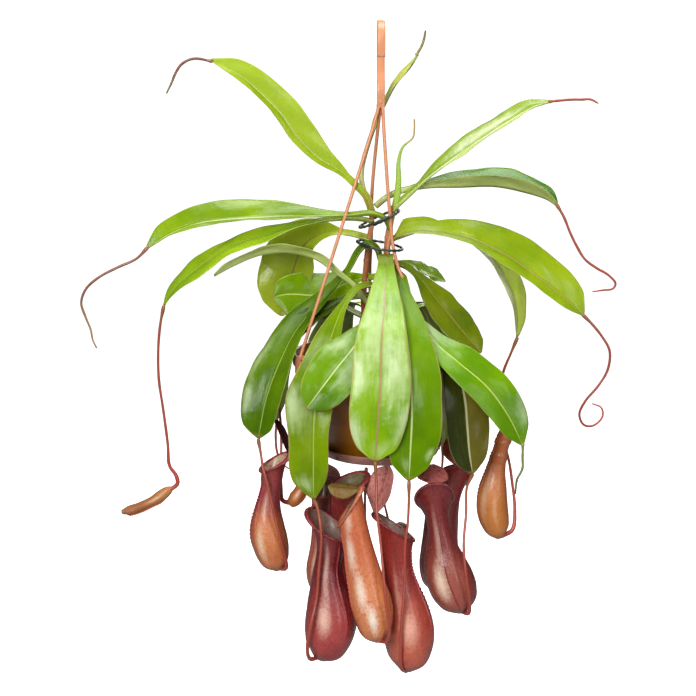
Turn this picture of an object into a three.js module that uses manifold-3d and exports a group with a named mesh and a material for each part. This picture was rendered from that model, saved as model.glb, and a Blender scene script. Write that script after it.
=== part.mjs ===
// Hanging pitcher plant (Nepenthes) in a clip-on-saucer pot with a moulded three-strand hanger.
// Millimetres, +Z up. The origin is the point inside the hook that bears on whatever the plant hangs from.
// +X is the plant's right and -Y its front.

import * as THREE from 'three';
import { mergeVertices } from 'three/addons/utils/BufferGeometryUtils.js';
import Module from 'manifold-3d';

const wasm = await Module();
wasm.setup();

// ---------------------------------------------------------------- driving dimensions

const CLEARANCE = 0.35;

const POT = {
  rimRadius: 70,
  rimTop: -259,
  rimWidth: 2.2,
  rimRounding: 1,
  collarDrop: 9,
  bodyTopRadius: 66,
  baseRadius: 44,
  baseRounding: 1.5,
  baseZ: -338.8,
  wall: 2.2,
  drainRadius: 6,
  segments: 30,
};

const SAUCER = {
  lipRadius: 50,
  lipTop: -333.5,
  baseRadius: 47,
  underside: -341,
  wall: 1.8,
  ribCount: 8,
  ribWidth: 2.4,
  ribGap: 0.6,
  segments: 30,
};

const SOIL = { edgeZ: -268, crownRise: 7, floorGap: 2.5, shoulder: 0.6, crown: 0.4, segments: 20 };

const HOOK = {
  strapWidth: 6.2,
  strapThickness: 3,
  edgeChamfer: 0.8,
  innerRadius: 12,
  noseZ: -24,
  shankEndZ: -62,
};

const STRAND = { radius: 1.35, topZ: -62.6, sides: 5 };

const CLIP = { width: 7, gap: 0.4, thickness: 2.3, lipReach: 4, toeReach: 3, toeThickness: 1.8 };

const TIE = { radius: 0.9, turns: 1.12, spread: 0.12, pitch: 1.5, steps: 22 };

const BLADE = {
  petioleHalf: 3,
  tipHalf: 1.1,
  keelThickness: 1.5,
  halfThickness: 1.15,
  edgeThickness: 0.95,
  petioleExtra: 1.4,
  curl: 14,
  tipTaper: 0.35,
  taperStart: 0.78,
  claspStarts: [0.02, 0.08],
  claspEnds: [0.14, 0.34],
};

const TENDRIL_RADIUS = 1.05;
const PITCHER_WALL = 1.4;
const PITCHER_SIDES = 8;

// ---------------------------------------------------------------- colours

const finish = (color, roughness) => new THREE.MeshStandardMaterial({ color, roughness, metalness: 0 });

const FINISH = {
  leaf: finish(0x6f9a0c, 0.4),
  darkPitcher: finish(0x6b1f22, 0.35),
  orangePitcher: finish(0xc06a35, 0.35),
  stem: finish(0x8a5a34, 0.6),
  pot: finish(0x6e3512, 0.45),
  saucer: finish(0x77564a, 0.45),
  hanger: finish(0xf0a070, 0.4),
  soil: finish(0x2c1d14, 0.95),
  tie: finish(0x2c3a34, 0.5),
};

// ---------------------------------------------------------------- geometry helpers

const vec = ([x, y, z]) => new THREE.Vector3(x, y, z);
const radians = THREE.MathUtils.degToRad;
const mix = THREE.MathUtils.lerp;
const clamp = THREE.MathUtils.clamp;
const smoothstep = THREE.MathUtils.smoothstep;

const curveThrough = (points) => new THREE.CatmullRomCurve3(points.map(vec), false, 'centripetal');

// Triangles of a loft through rings of equal point counts, capped at both ends. From ring point `mirrorFrom`
// on the quads are split along the other diagonal, so that the two faces of a thin blade are split alike.
function loftGeometry(rings, mirrorFrom = Infinity) {
  const count = rings[0].length;
  const position = rings.flat().flatMap((p) => [p.x, p.y, p.z]);
  const index = [];
  for (let i = 0; i < rings.length - 1; i += 1) {
    for (let j = 0; j < count; j += 1) {
      const next = (j + 1) % count;
      const [a, b] = [i * count + j, i * count + next];
      const [d, c] = [a + count, b + count];
      if (j < mirrorFrom) index.push(a, b, c, a, c, d);
      else index.push(a, b, d, b, c, d);
    }
  }
  const cap = (base, flip) => {
    let [low, high] = [0, count - 1];
    const add = (a, b, c) => {
      const [second, third] = flip ? [b, c] : [c, b];
      index.push(base + a, base + second, base + third);
    };
    while (high - low > 1) {
      add(low, low + 1, high);
      if (high - low > 2) add(low + 1, high - 1, high);
      low += 1;
      high -= 1;
    }
  };
  cap(0, false);
  cap((rings.length - 1) * count, true);
  const geometry = new THREE.BufferGeometry();
  geometry.setAttribute('position', new THREE.Float32BufferAttribute(position, 3));
  geometry.setIndex(index);
  return geometry;
}

// A closed mesh as a solid: shared vertices merged, empty triangles dropped, faces turned outward.
function toSolid(geometry) {
  const bare = geometry.clone();
  bare.deleteAttribute('normal');
  bare.deleteAttribute('uv');
  const merged = mergeVertices(bare, 1e-4);
  const at = merged.getAttribute('position').array;
  const source = merged.getIndex().array;
  const corner = (k) => new THREE.Vector3(at[3 * k], at[3 * k + 1], at[3 * k + 2]);
  const triangles = [];
  let volume = 0;
  for (let k = 0; k < source.length; k += 3) {
    const [a, b, c] = [source[k], source[k + 1], source[k + 2]];
    if (a === b || b === c || c === a) continue;
    triangles.push(a, b, c);
    volume += corner(a).dot(corner(b).cross(corner(c)));
  }
  if (volume < 0) triangles.reverse();
  return new wasm.Manifold(
    new wasm.Mesh({ numProp: 3, vertProperties: new Float32Array(at), triVerts: new Uint32Array(triangles) }),
  );
}

function toGeometry(solid) {
  const { vertProperties, triVerts } = solid.getMesh();
  const indexed = new THREE.BufferGeometry();
  indexed.setAttribute('position', new THREE.Float32BufferAttribute(vertProperties, 3));
  indexed.setIndex(Array.from(triVerts));
  return indexed;
}

const unionOf = (solids) => solids.reduce((whole, solid) => whole.add(solid));

const largestPiece = (solid) =>
  solid.decompose().reduce((best, piece) => (piece.volume() > best.volume() ? piece : best));

// Points along a curve, with frames that turn as little as they can, at the given shares of its length.
function framesAlong(curve, shares, startNormal) {
  const normal = startNormal.clone();
  return shares.map((share) => {
    const at = curve.getPointAt(share);
    const along = curve.getTangentAt(share);
    normal.addScaledVector(along, -normal.dot(along)).normalize();
    return { share, at, along, normal: normal.clone(), side: along.clone().cross(normal) };
  });
}

const evenShares = (steps) => Array.from({ length: steps + 1 }, (_, i) => i / steps);

const anyAcross = (along) => (Math.abs(along.z) > 0.8 ? vec([1, 0, 0]) : vec([0, 0, 1]));

// A round stalk along points; radiusAt takes the share of its length.
function stalk(points, radiusAt, sides, steps) {
  const curve = curveThrough(points);
  const frames = framesAlong(curve, evenShares(steps), anyAcross(curve.getTangentAt(0)));
  const rings = frames.map(({ share, at, normal, side }) =>
    evenShares(sides)
      .slice(0, sides)
      .map((turn) => {
        const angle = turn * Math.PI * 2;
        const radius = radiusAt(share);
        return at
          .clone()
          .addScaledVector(normal, Math.cos(angle) * radius)
          .addScaledVector(side, Math.sin(angle) * radius);
      }),
  );
  return toSolid(loftGeometry(rings));
}

// ---------------------------------------------------------------- leaves

const BLADE_SHARES = [0, 0.14, 0.26, 0.38, 0.52, 0.66, 0.8, 0.92, 1];

// Share of the full half width that a strap-shaped leaf has along its length.
function breadthAt(share, petiole, peak) {
  if (share < peak) {
    const rise = clamp((share - petiole) / (peak - petiole), 0, 1);
    return Math.sin((rise * Math.PI) / 2) ** 1.25;
  }
  const fall = (share - peak) / (1 - peak);
  const point = 1 - BLADE.tipTaper * smoothstep(fall, BLADE.taperStart, 1);
  return Math.sqrt(Math.max(0, 1 - fall ** 2.3)) * point;
}

// One leaf: spine from the stem to the tip, the direction that its upper face looks in along it, the two half
// widths and how far each half is raised from flat. `grow` thickens it on every side.
function bladeSolid(leaf, grow = 0) {
  const { spine, faces, halves, fold = [15, 15], petiole = 0.2, peak = 0.62, wave = 0.8, base = 0 } = leaf;
  const { depth = 0, dip = 0, period = 1 } = leaf.scallop ?? {};
  const shares = leaf.shares ?? BLADE_SHARES;
  const petioleHalf = leaf.petioleHalf ?? BLADE.petioleHalf;
  const curve = curveThrough(spine);
  const rings = shares.map((share) => {
    const at = curve.getPointAt(share);
    const along = curve.getTangentAt(share);
    const place = share * (faces.length - 1);
    const first = Math.min(Math.floor(place), Math.max(faces.length - 2, 0));
    const second = Math.min(first + 1, faces.length - 1);
    const normal = vec(faces[first]).lerp(vec(faces[second]), place - first);
    normal.addScaledVector(along, -normal.dot(along)).normalize();
    const side = along.clone().cross(normal);
    const leavingStem = 1 - smoothstep(share, ...BLADE.claspEnds);
    const clasp = base * smoothstep(share, ...BLADE.claspStarts) * leavingStem;
    const dent = 1 - depth * Math.cos(((share - dip) / period) * Math.PI * 2);
    const breadth = Math.max(clasp, breadthAt(share, petiole, peak) * dent);
    const petioleness = 1 - smoothstep(share, petiole * 0.5, petiole * 1.8);
    const extra = BLADE.petioleExtra * petioleness;
    const half = (k) => {
      const beyond = Math.max(BLADE.tipHalf, halves[k] * breadth);
      const full = share < peak ? mix(petioleHalf, halves[k], breadth) : beyond;
      const sign = k === 0 ? 1 : -1;
      const lift = radians(fold[k]);
      const outer = lift - radians(BLADE.curl) * breadth;
      const step = (angle) =>
        side.clone().multiplyScalar(sign * Math.cos(angle)).addScaledVector(normal, Math.sin(angle));
      const across = (angle) =>
        normal.clone().multiplyScalar(Math.cos(angle)).addScaledVector(side, -sign * Math.sin(angle));
      const length = (full + grow) / 2;
      const middle = at.clone().addScaledVector(step(lift), length);
      const ripple = wave * breadth * Math.sin(share * 21 + k * 2 + halves[0]);
      const edge = middle.clone().addScaledVector(step(outer), length).addScaledVector(across(outer), ripple);
      return [
        [middle, across((lift + outer) / 2), BLADE.halfThickness + extra * 0.6],
        [edge, across(outer), BLADE.edgeThickness],
      ];
    };
    const [rightHalf, leftHalf] = [half(0), half(1)];
    const spineRow = [at, normal, BLADE.keelThickness + extra];
    const rows = [leftHalf[1], leftHalf[0], spineRow, rightHalf[0], rightHalf[1]];
    const top = rows.map(([p, n]) => p.clone().addScaledVector(n, grow));
    const bottom = rows.map(([p, n, thickness]) => p.clone().addScaledVector(n, -thickness - grow));
    return [...top, ...bottom.reverse()];
  });
  return toSolid(loftGeometry(rings, 5));
}

const tendrilSolid = (points, endRadius, grow) =>
  stalk(points, (share) => mix(TENDRIL_RADIUS, endRadius, share ** 6) + grow, 4, points.length + 3);

function leafSolid(leaf, grow = 0) {
  const blade = bladeSolid(leaf, grow);
  return leaf.tendril ? blade.add(tendrilSolid(leaf.tendril, 0.6, grow)) : blade;
}

const TOWARD_VIEWER = [0, -1, 0];

const LEAVES = [
  {
    name: 'leaf_upper_left',
    spine: [[-7, -2, -146], [-11, -4, -134], [-20, -6, -124], [-32, -8, -113], [-49, -12, -102],
      [-64, -16, -87], [-77, -20, -68], [-92, -23, -52], [-108, -25, -38], [-131, -27, -26]],
    faces: [[-0.3, -0.9, 0.3], [0, -1, 0], [0, -1, 0.2], [-0.2, -1, 0.3]],
    halves: [16, 6],
    peak: 0.5,
    fold: [5, 45],
    tendril: [[-129, -27, -27], [-143, -28, -25], [-152, -29, -29], [-157, -29, -36], [-160, -29, -43],
      [-164, -29, -51]],
  },
  {
    name: 'leaf_upright',
    spine: [[-7, 4, -147], [-13, 8, -132], [-15, 11, -119], [-11, 14, -101], [-4, 16, -80], [3, 17, -64],
      [12, 17, -47], [23, 17, -34], [29, 17, -24]],
    faces: [[-1, -0.2, 0.2], [-1, -0.25, 0.3]],
    halves: [6, 6],
    fold: [25, 25],
    tendril: [[28, 17, -25], [32, 17, -18], [34, 17, -12], [35, 17, -6]],
  },
  {
    name: 'leaf_upper_right',
    spine: [[9, -3, -144], [19, -6, -134], [36, -12, -118], [56, -18, -102], [77, -22, -87], [97, -26, -73],
      [115, -28, -62], [130, -28, -57]],
    faces: [[-0.5, -0.6, 0.7], [-0.45, -0.35, 0.8], [-0.3, -0.35, 0.9]],
    halves: [7, 15],
    peak: 0.52,
    fold: [20, 20],
    tendril: [[128, -28, -57.5], [144, -28, -56], [153, -27, -56], [160, -26, -56], [166, -25, -59]],
  },
  {
    name: 'leaf_right',
    spine: [[-4, 3, -142], [6, 2, -134], [18, 0, -129], [36, -4, -126], [62, -8, -125], [89, -12, -124],
      [112, -16, -128], [129, -20, -133], [137, -22, -138]],
    faces: [[0, 0.1, 1], [0, 0.1, 1], [0.3, 0.1, 1]],
    halves: [16, 20],
    fold: [40, 52],
    tendril: [[136, -22, -137], [142, -23, -147], [147, -24, -159], [152, -24, -169], [159, -24, -180],
      [168, -23, -187], [178, -22, -193], [184, -21, -200], [182, -21, -204], [174, -22, -205],
      [166, -23, -206]],
  },
  {
    name: 'leaf_far_right',
    spine: [[8, -4, -168], [16, -8, -163], [25, -11, -160], [38, -16, -159], [54, -21, -160],
      [75, -27, -165], [96, -31, -175], [117, -34, -189], [137, -35, -204], [158, -34, -223]],
    faces: [[0.1, -0.3, 0.95], [0.3, -0.6, 0.7], [0.4, -0.6, 0.6]],
    halves: [12, 17],
    base: 0.6,
    fold: [35, 22],
    petiole: 0.03,
    tendril: [[157, -34, -222], [165, -34, -230], [173, -34, -240], [179, -34, -251], [178, -34, -266],
      [171, -34, -279], [161, -33, -292], [157, -31, -303], [161, -29, -312], [169, -27, -313],
      [176, -26, -306], [175, -25, -299], [168, -24, -296]],
  },
  {
    name: 'leaf_right_hanging',
    spine: [[12, 4, -167], [31, 5, -161], [52, 2, -160], [67, -3, -164], [81, -9, -174], [93, -14, -187],
      [102, -17, -203], [107, -19, -222], [108, -20, -243]],
    faces: [[0, -0.3, 1], [0.4, -0.3, 0.8], [0.85, -0.4, 0.3], [0.9, -0.45, 0]],
    halves: [15, 20],
  },
  {
    name: 'leaf_far_left',
    spine: [[8, -3, -159], [3, -6, -150], [-7, -8, -146], [-24, -10, -147], [-56, -13, -148],
      [-86, -16, -148], [-114, -20, -149], [-141, -23, -152], [-164, -26, -160], [-182, -28, -171]],
    faces: [[0, -0.4, 0.9], [0, -0.7, 0.7], [-0.2, -0.8, 0.6]],
    halves: [18, 6],
    fold: [10, 40],
    tendril: [[-181, -28, -170], [-190, -28, -179], [-205, -28, -186], [-220, -28, -194], [-230, -28, -203],
      [-234, -28, -214], [-231, -28, -225], [-227, -28, -236], [-226, -28, -243], [-223, -28, -250]],
  },
  {
    name: 'leaf_left',
    spine: [[-6, 0, -153], [-16, -2, -151], [-30, -6, -150], [-56, -12, -153], [-85, -18, -160],
      [-110, -24, -167], [-133, -28, -179], [-151, -32, -192], [-163, -34, -204], [-169, -34, -215]],
    faces: [[0, -0.15, 1], [0, -0.3, 0.95], [-0.4, -0.4, 0.8]],
    halves: [11, 17],
    scallop: { depth: 0.07, dip: 0.62, period: 0.3 },
  },
  {
    name: 'leaf_left_folded',
    spine: [[-7, 3, -168], [-24, 6, -164], [-42, 11, -164], [-57, 19, -172], [-65, 24, -184],
      [-71, 27, -202], [-76, 27, -220], [-80, 26, -235]],
    faces: [[0, -0.5, 0.85], [-0.3, -0.7, 0.6], [-0.2, -1, 0.2], [0, -1, 0]],
    halves: [28, 17],
    peak: 0.66,
  },
  {
    name: 'leaf_left_low',
    spine: [[-5, 2, -225], [-13, 0, -215], [-22, -3, -203], [-36, -6, -193], [-51, -9, -182],
      [-71, -13, -176], [-94, -18, -177], [-114, -24, -184], [-130, -29, -192]],
    faces: [[0.6, 0.3, 0.6], [0.3, 0.3, 0.9], [0, 0.3, 0.95], [-0.2, 0.3, 0.95]],
    halves: [17, 13],
    fold: [25, 25],
  },
  {
    name: 'leaf_left_short',
    spine: [[-3, 8, -199], [-16, 15, -202], [-28, 19, -207], [-40, 19, -213], [-54, 17, -216],
      [-67, 15, -215], [-77, 13, -215], [-86, 12, -217]],
    faces: [[0, -0.6, 0.8], [0.1, -1, 0.3]],
    halves: [19, 22],
    fold: [10, 10],
    petiole: 0.12,
    peak: 0.62,
  },
  {
    name: 'leaf_left_drooping',
    spine: [[1, 0, -186], [-3, -6, -174], [-10, -8, -170], [-17, -5, -176], [-27, 1, -195], [-47, 0, -218],
      [-65, -10, -237], [-78, -25, -259], [-90, -37, -290], [-96, -41, -320]],
    faces: [[0.3, -0.6, 0.6], [-0.3, -0.8, 0.5], [-0.3, -0.8, 0.4], [0, -1, 0]],
    halves: [21, 16],
    fold: [5, 40],
    petiole: 0.25,
    peak: 0.8,
    scallop: { depth: 0.05, dip: 0.62, period: 0.26 },
  },
  {
    name: 'leaf_front_left',
    spine: [[-1, -8, -207], [-8, -14, -202], [-17, -20, -203], [-29, -34, -215], [-38, -50, -235],
      [-46, -64, -260], [-51, -76, -289], [-52, -82, -322], [-52, -84, -357]],
    faces: [[0, -0.6, 0.8], [0, -0.8, 0.6], [0, -1, 0.2], [0, -1, 0]],
    halves: [22, 13],
    peak: 0.68,
    scallop: { depth: 0.09, dip: 0.77, period: 0.3 },
  },
  {
    name: 'leaf_front_left_short',
    spine: [[-2, -14, -219], [-10, -34, -227], [-20, -58, -241], [-35, -74, -257], [-47, -85, -271],
      [-57, -89, -284]],
    faces: [[0, -0.6, 0.8], [-0.1, -0.8, 0.6], [0, -1, 0.1]],
    halves: [20, 22],
    fold: [8, 8],
  },
  {
    name: 'leaf_front',
    spine: [[4, -7, -179], [4, -18, -188], [3, -36, -201], [2, -54, -216], [0, -72, -235], [-1, -86, -266],
      [-3, -92, -297], [-5, -93, -324]],
    faces: [[0, -0.5, 0.85], [0, -0.75, 0.6], [0, -0.95, 0.3], [0, -1, 0.05]],
    halves: [23, 23],
    fold: [8, 8],
    petiole: 0.04,
    petioleHalf: 6,
    peak: 0.74,
  },
  {
    name: 'leaf_front_right',
    spine: [[9, -5, -188], [11, -14, -195], [15, -32, -209], [19, -56, -231], [22, -76, -259],
      [23, -85, -290], [22, -88, -317], [21, -88, -341]],
    faces: [[0, -0.5, 0.85], [0, -0.75, 0.6], [0, -0.95, 0.3], [0, -1, 0.05]],
    halves: [21, 23.5],
    fold: [8, 8],
    petiole: 0.04,
    petioleHalf: 4.5,
    peak: 0.68,
  },
  {
    name: 'leaf_right_low',
    spine: [[9, 4, -187], [20, 5, -190], [30, 2, -198], [42, -4, -212], [55, -11, -227], [67, -18, -241],
      [79, -27, -254]],
    faces: [[0, -0.6, 0.8], [0.3, -0.8, 0.5]],
    halves: [15, 14],
    fold: [10, 10],
  },
  {
    name: 'leaf_right_low_dark',
    spine: [[13, 8, -189], [22, 12, -189], [35, 18, -196], [53, 24, -206]],
    faces: [[0, -0.5, 0.9]],
    halves: [8, 9],
  },
  {
    name: 'leaf_front_far_right',
    spine: [[12, -16, -214], [21, -30, -217], [32, -42, -228], [44, -55, -242], [59, -67, -253],
      [81, -74, -271], [97, -74, -293], [109, -72, -317]],
    faces: [[0, -0.6, 0.8], [0.1, -0.8, 0.6], [0.1, -0.9, 0.4]],
    halves: [15, 18],
    fold: [8, 8],
    tendril: [[109, -72, -316], [109, -72, -327], [109, -72, -336], [105, -72, -345], [104, -72, -356]],
  },
  {
    name: 'leaf_right_shaded',
    spine: [[12, -10, -222], [26, -24, -227], [42, -36, -240], [52, -48, -250], [60, -55, -265],
      [65, -58, -285], [67, -57, -305], [69, -56, -327], [72, -54, -345]],
    faces: [[0.3, -0.5, 0.8], [0.4, -0.9, 0.2], [0.2, -1, 0]],
    halves: [18, 19],
    fold: [8, 8],
    peak: 0.68,
  },
  {
    name: 'leaf_left_shaded',
    spine: [[-6, 6, -214], [-24, 2, -215], [-44, -2, -224], [-63, -8, -236], [-79, -10, -259],
      [-82, -9, -284]],
    faces: [[0, -0.6, 0.8], [-0.4, -0.8, 0.4]],
    halves: [11, 9],
  },
  {
    name: 'leaf_back_left',
    spine: [[-4, 12, -238], [-14, 40, -228], [-30, 78, -240], [-42, 98, -280], [-48, 104, -325],
      [-50, 102, -365]],
    faces: [[0, -0.3, 1], [0, 0.3, 1], [-0.2, 0.9, 0.4], [-0.2, 1, 0]],
    halves: [20, 20],
  },
  {
    name: 'leaf_back_right',
    spine: [[7, 12, -238], [18, 40, -228], [38, 78, -240], [50, 98, -280], [55, 102, -325], [56, 98, -362]],
    faces: [[0, -0.3, 1], [0, 0.3, 1], [0.2, 0.9, 0.4], [0.2, 1, 0]],
    halves: [20, 20],
  },
  {
    name: 'leaf_back_middle',
    spine: [[2, 16, -236], [3, 45, -226], [0, 88, -240], [-2, 110, -285], [-3, 116, -335], [-3, 112, -368]],
    faces: [[0, -0.3, 1], [0, 0.3, 1], [0, 0.9, 0.4], [0, 1, 0]],
    halves: [19, 19],
  },
  {
    name: 'leaf_back_far_left',
    spine: [[-9, 12, -234], [-42, 36, -226], [-70, 58, -245], [-83, 72, -290], [-86, 76, -335]],
    faces: [[0, -0.3, 1], [-0.3, 0.2, 1], [-0.7, 0.7, 0.3], [-0.7, 0.7, 0]],
    halves: [17, 17],
    tendril: [[-86, 76, -334], [-87, 77, -348], [-86, 76, -362], [-82, 74, -372], [-76, 72, -376]],
  },
  {
    name: 'leaf_back_far_right',
    spine: [[12, 12, -234], [40, 38, -228], [62, 62, -248], [72, 76, -290], [74, 80, -335]],
    faces: [[0, -0.3, 1], [0.3, 0.2, 1], [0.7, 0.7, 0.3], [0.7, 0.7, 0]],
    halves: [17, 17],
    tendril: [[74, 80, -334], [75, 81, -348], [73, 81, -360], [68, 79, -367], [63, 77, -365]],
  },
];

// ---------------------------------------------------------------- pitchers

const BODY_SHARES = [0, 0.06, 0.16, 0.28, 0.44, 0.6, 0.76, 0.9, 1];
const RIM = BODY_SHARES.length - 1;

function bodyRadii({ belly, waist, mouth }) {
  return [
    0.25 * belly, 0.66 * belly, 0.92 * belly, belly, 0.88 * belly, mix(belly, waist, 0.72),
    waist, mix(waist, mouth, 0.25), mouth,
  ];
}

// One pitcher with its tendril and lid. `axis` runs from the bottom to the middle of the mouth, `high` points
// to the side of the mouth that carries the lid and `slant` is how far that side rises above the middle.
function pitcherSolid(pitcher, grow = 0) {
  const { axis, high, slant, tendril, lid, closed = false } = pitcher;
  const curve = curveThrough(axis);
  const radii = bodyRadii(pitcher);
  const ringAt = (share, radius, drop = 0) => {
    const at = curve.getPointAt(share);
    const along = curve.getTangentAt(share);
    const toward = vec(high);
    toward.addScaledVector(along, -toward.dot(along)).normalize();
    const side = along.clone().cross(toward);
    const lift = slant * smoothstep(share, 0.55, 1);
    return evenShares(PITCHER_SIDES)
      .slice(0, PITCHER_SIDES)
      .map((turn) => {
        const angle = turn * Math.PI * 2;
        return at
          .clone()
          .addScaledVector(toward, Math.cos(angle) * radius)
          .addScaledVector(side, Math.sin(angle) * radius)
          .addScaledVector(along, lift * Math.cos(angle) - drop);
      });
  };
  const outer = BODY_SHARES.map((share, i) => ringAt(share, radii[i] + grow));
  const rings = [...outer];
  if (closed) {
    rings.push(ringAt(1, radii[RIM] * 0.45 + grow, -radii[RIM] * 0.5));
  } else {
    rings.push(ringAt(1, radii[RIM] + 2 + grow, 0.8));
    rings.push(ringAt(1, radii[RIM] + 1.2 + grow, -0.8 - grow));
    if (grow === 0) {
      for (let i = RIM; i > 1; i -= 1) rings.push(ringAt(BODY_SHARES[i], radii[i] - PITCHER_WALL));
    }
  }
  const pieces = [toSolid(loftGeometry(rings)), tendrilSolid(tendril, 2, grow)];
  if (lid) {
    const at = curve.getPointAt(1);
    const along = curve.getTangentAt(1);
    const toward = vec(high).addScaledVector(along, -vec(high).dot(along)).normalize();
    const hinge = at.addScaledVector(toward, radii[RIM] - 0.4).addScaledVector(along, slant - 0.8);
    pieces.push(bladeSolid({
      spine: [hinge.toArray(), hinge.clone().lerp(vec(lid.tip), 0.5).toArray(), lid.tip],
      faces: [lid.face],
      halves: [lid.width / 2, lid.width / 2],
      fold: [-12, -12],
      petiole: 0.02,
      petioleHalf: 1.6,
      peak: 0.5,
      wave: 0,
      shares: [0, 0.2, 0.5, 0.85, 1],
    }, grow));
  }
  return unionOf(pieces);
}

const PITCHERS = [
  {
    name: 'pitcher_left',
    axis: [[-80, -46, -426], [-85, -46, -413], [-89, -46, -393], [-88, -45, -369], [-85, -44, -353],
      [-83, -43, -339]],
    belly: 14.4,
    waist: 7.6,
    mouth: 10.5,
    high: [1, 0.3, 0],
    slant: 8,
    lid: { tip: [-84, -34, -306], face: [-0.9, 0.3, 0], width: 16 },
    tendril: [[-96, -41.5, -321.4], [-94, -48, -330], [-92, -56, -339], [-88, -60, -354], [-83, -62, -377],
      [-78, -62, -398], [-75, -56, -413], [-75, -50, -424], [-80, -46, -425]],
  },
  {
    name: 'pitcher_young_left',
    finish: 'orangePitcher',
    axis: [[-74, -26, -377], [-69, -26, -375], [-64, -26, -368], [-60, -25, -359], [-57, -24, -350]],
    belly: 6,
    waist: 5,
    mouth: 4,
    high: [-1, 0, 1],
    slant: 0,
    closed: true,
    tendril: [[-82, -9, -284.5], [-81, -12, -296], [-79, -17, -320], [-79, -22, -343], [-79, -26, -365],
      [-78, -26, -375], [-73, -26, -377]],
  },
  {
    name: 'pitcher_middle_back',
    axis: [[-22, -44, -458], [-24, -46, -435], [-28, -50, -407], [-30, -54, -383], [-29, -58, -368],
      [-25, -60, -351]],
    belly: 12,
    waist: 9.4,
    mouth: 13,
    high: [1, 0.2, 0],
    slant: 9,
    lid: { tip: [-9, -48, -362], face: [1, 0.2, 0.2], width: 16 },
    tendril: [[-11, -26, -348], [-12, -30, -371], [-12, -28, -400], [-13, -28, -430], [-15, -34, -455],
      [-21, -44, -457]],
  },
  {
    name: 'pitcher_front_left',
    axis: [[-48, -82, -487], [-43, -82, -476], [-39, -82, -457], [-41, -81, -421], [-40, -80, -397],
      [-42, -79, -379]],
    belly: 20,
    waist: 10.4,
    mouth: 14,
    high: [-1, 0.55, 0],
    slant: 12,
    lid: { tip: [-49, -60, -349], face: [0, 0.5, 1], width: 24 },
    tendril: [[-52, -84, -357.5], [-49, -90, -362], [-47, -96, -371], [-46, -98, -385], [-48, -98, -410],
      [-50, -100, -433], [-54, -104, -450], [-57, -101, -470], [-55, -91, -484], [-48, -82, -486]],
  },
  {
    name: 'pitcher_front',
    finish: 'orangePitcher',
    axis: [[-1, -99, -466], [-4, -99, -457], [-7, -98, -440], [-13, -97, -414], [-18, -96, -390],
      [-24, -94, -360]],
    belly: 16,
    waist: 10.8,
    mouth: 11.5,
    high: [1, 0, 0],
    slant: 13,
    lid: { tip: [-41, -92, -344], face: [0, -0.35, 0.94], width: 22 },
    tendril: [[-5, -93.4, -324.5], [-4, -96, -343], [-4, -102, -358], [-1, -108, -383], [1, -114, -404],
      [3, -118, -427], [6, -115, -449], [4, -106, -464], [-1, -99, -466]],
  },
  {
    name: 'pitcher_front_right',
    axis: [[20, -76, -499], [22, -76, -487], [22, -76, -466], [15, -75, -425], [12, -74, -401],
      [10, -73, -383]],
    belly: 20,
    waist: 10.8,
    mouth: 14,
    high: [-1, 0, 0],
    slant: 12,
    lid: { tip: [6.5, -66.5, -335], face: [0.7, 0.7, 0], width: 27 },
    tendril: [[21, -88, -341.4], [21, -90, -356], [20, -93, -375], [18, -95, -391], [18, -96, -419],
      [16, -100, -446], [15, -99, -471], [16, -90, -492], [20, -78, -499]],
  },
  {
    name: 'pitcher_right',
    axis: [[65, -60, -456], [61, -60, -445], [52, -60, -420], [47, -60, -393], [44, -60, -377],
      [42, -59, -363]],
    belly: 19,
    waist: 8.8,
    mouth: 14.5,
    high: [0, -1, 0],
    slant: 14,
    lid: { tip: [41, -58, -336], face: [0, -1, 0.3], width: 26 },
    tendril: [[72, -54, -345.4], [67, -62, -354], [66, -72, -372], [64, -80, -395], [66, -85, -420],
      [69, -80, -440], [69, -68, -455], [65, -61, -456]],
  },
  {
    name: 'pitcher_right_back',
    axis: [[49, -14, -455], [48, -14, -440], [50, -14, -418], [54, -14, -390], [57, -14, -376],
      [60, -14, -359]],
    belly: 15,
    waist: 7.5,
    mouth: 11.5,
    high: [0, -1, 0],
    slant: 12,
    lid: { tip: [60, -20, -322], face: [0.3, 1, 0], width: 22 },
    tendril: [[66, 16, -352], [66, 12, -372], [64, 10, -398], [63, 10, -432], [58, 2, -456],
      [50, -12, -456]],
  },
  {
    name: 'pitcher_far_right',
    finish: 'orangePitcher',
    axis: [[97, -20, -408], [94, -20, -399], [90, -20, -382], [92, -20, -356], [96, -20, -337],
      [100, -20, -323], [103, -20, -316]],
    belly: 12.8,
    waist: 6,
    mouth: 6,
    high: [1, 0, 0],
    slant: 2,
    closed: true,
    tendril: [[108, -20, -243.4], [103, -18, -257], [98, -14, -272], [95, -10, -294], [96, -9, -315],
      [100, -9, -332], [104, -9, -347], [107, -10, -366], [109, -14, -386], [107, -18, -402],
      [98, -20, -407]],
  },
  {
    name: 'pitcher_young_far_left',
    finish: 'orangePitcher',
    axis: [[-165, -34, -362], [-172, -34, -367], [-181, -34, -373], [-193, -34, -379], [-204, -34, -382]],
    belly: 4.4,
    waist: 3.8,
    mouth: 2.4,
    high: [0, 0, 1],
    slant: 0,
    closed: true,
    tendril: [[-169, -34, -215.4], [-172, -34, -230], [-174, -34, -250], [-174, -34, -274],
      [-171, -34, -299], [-168, -34, -327], [-167, -34, -344], [-162, -34, -352], [-161, -34, -359],
      [-167, -34, -364]],
  },
  {
    name: 'pitcher_left_back',
    finish: 'orangePitcher',
    axis: [[-44, -50, -450], [-46, -50, -442], [-49, -50, -427], [-47, -49, -401], [-47, -45, -381],
      [-46, -42, -362]],
    belly: 10,
    waist: 6.6,
    mouth: 8.5,
    high: [0.3, 1, 0],
    slant: 6,
    lid: { tip: [-42, -46, -339], face: [0, 1, 0.2], width: 24 },
    tendril: [[-56, -30, -352], [-53, -33, -380], [-52, -34, -410], [-50, -38, -438], [-47, -45, -452],
      [-44, -50, -449]],
  },
  {
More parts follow.
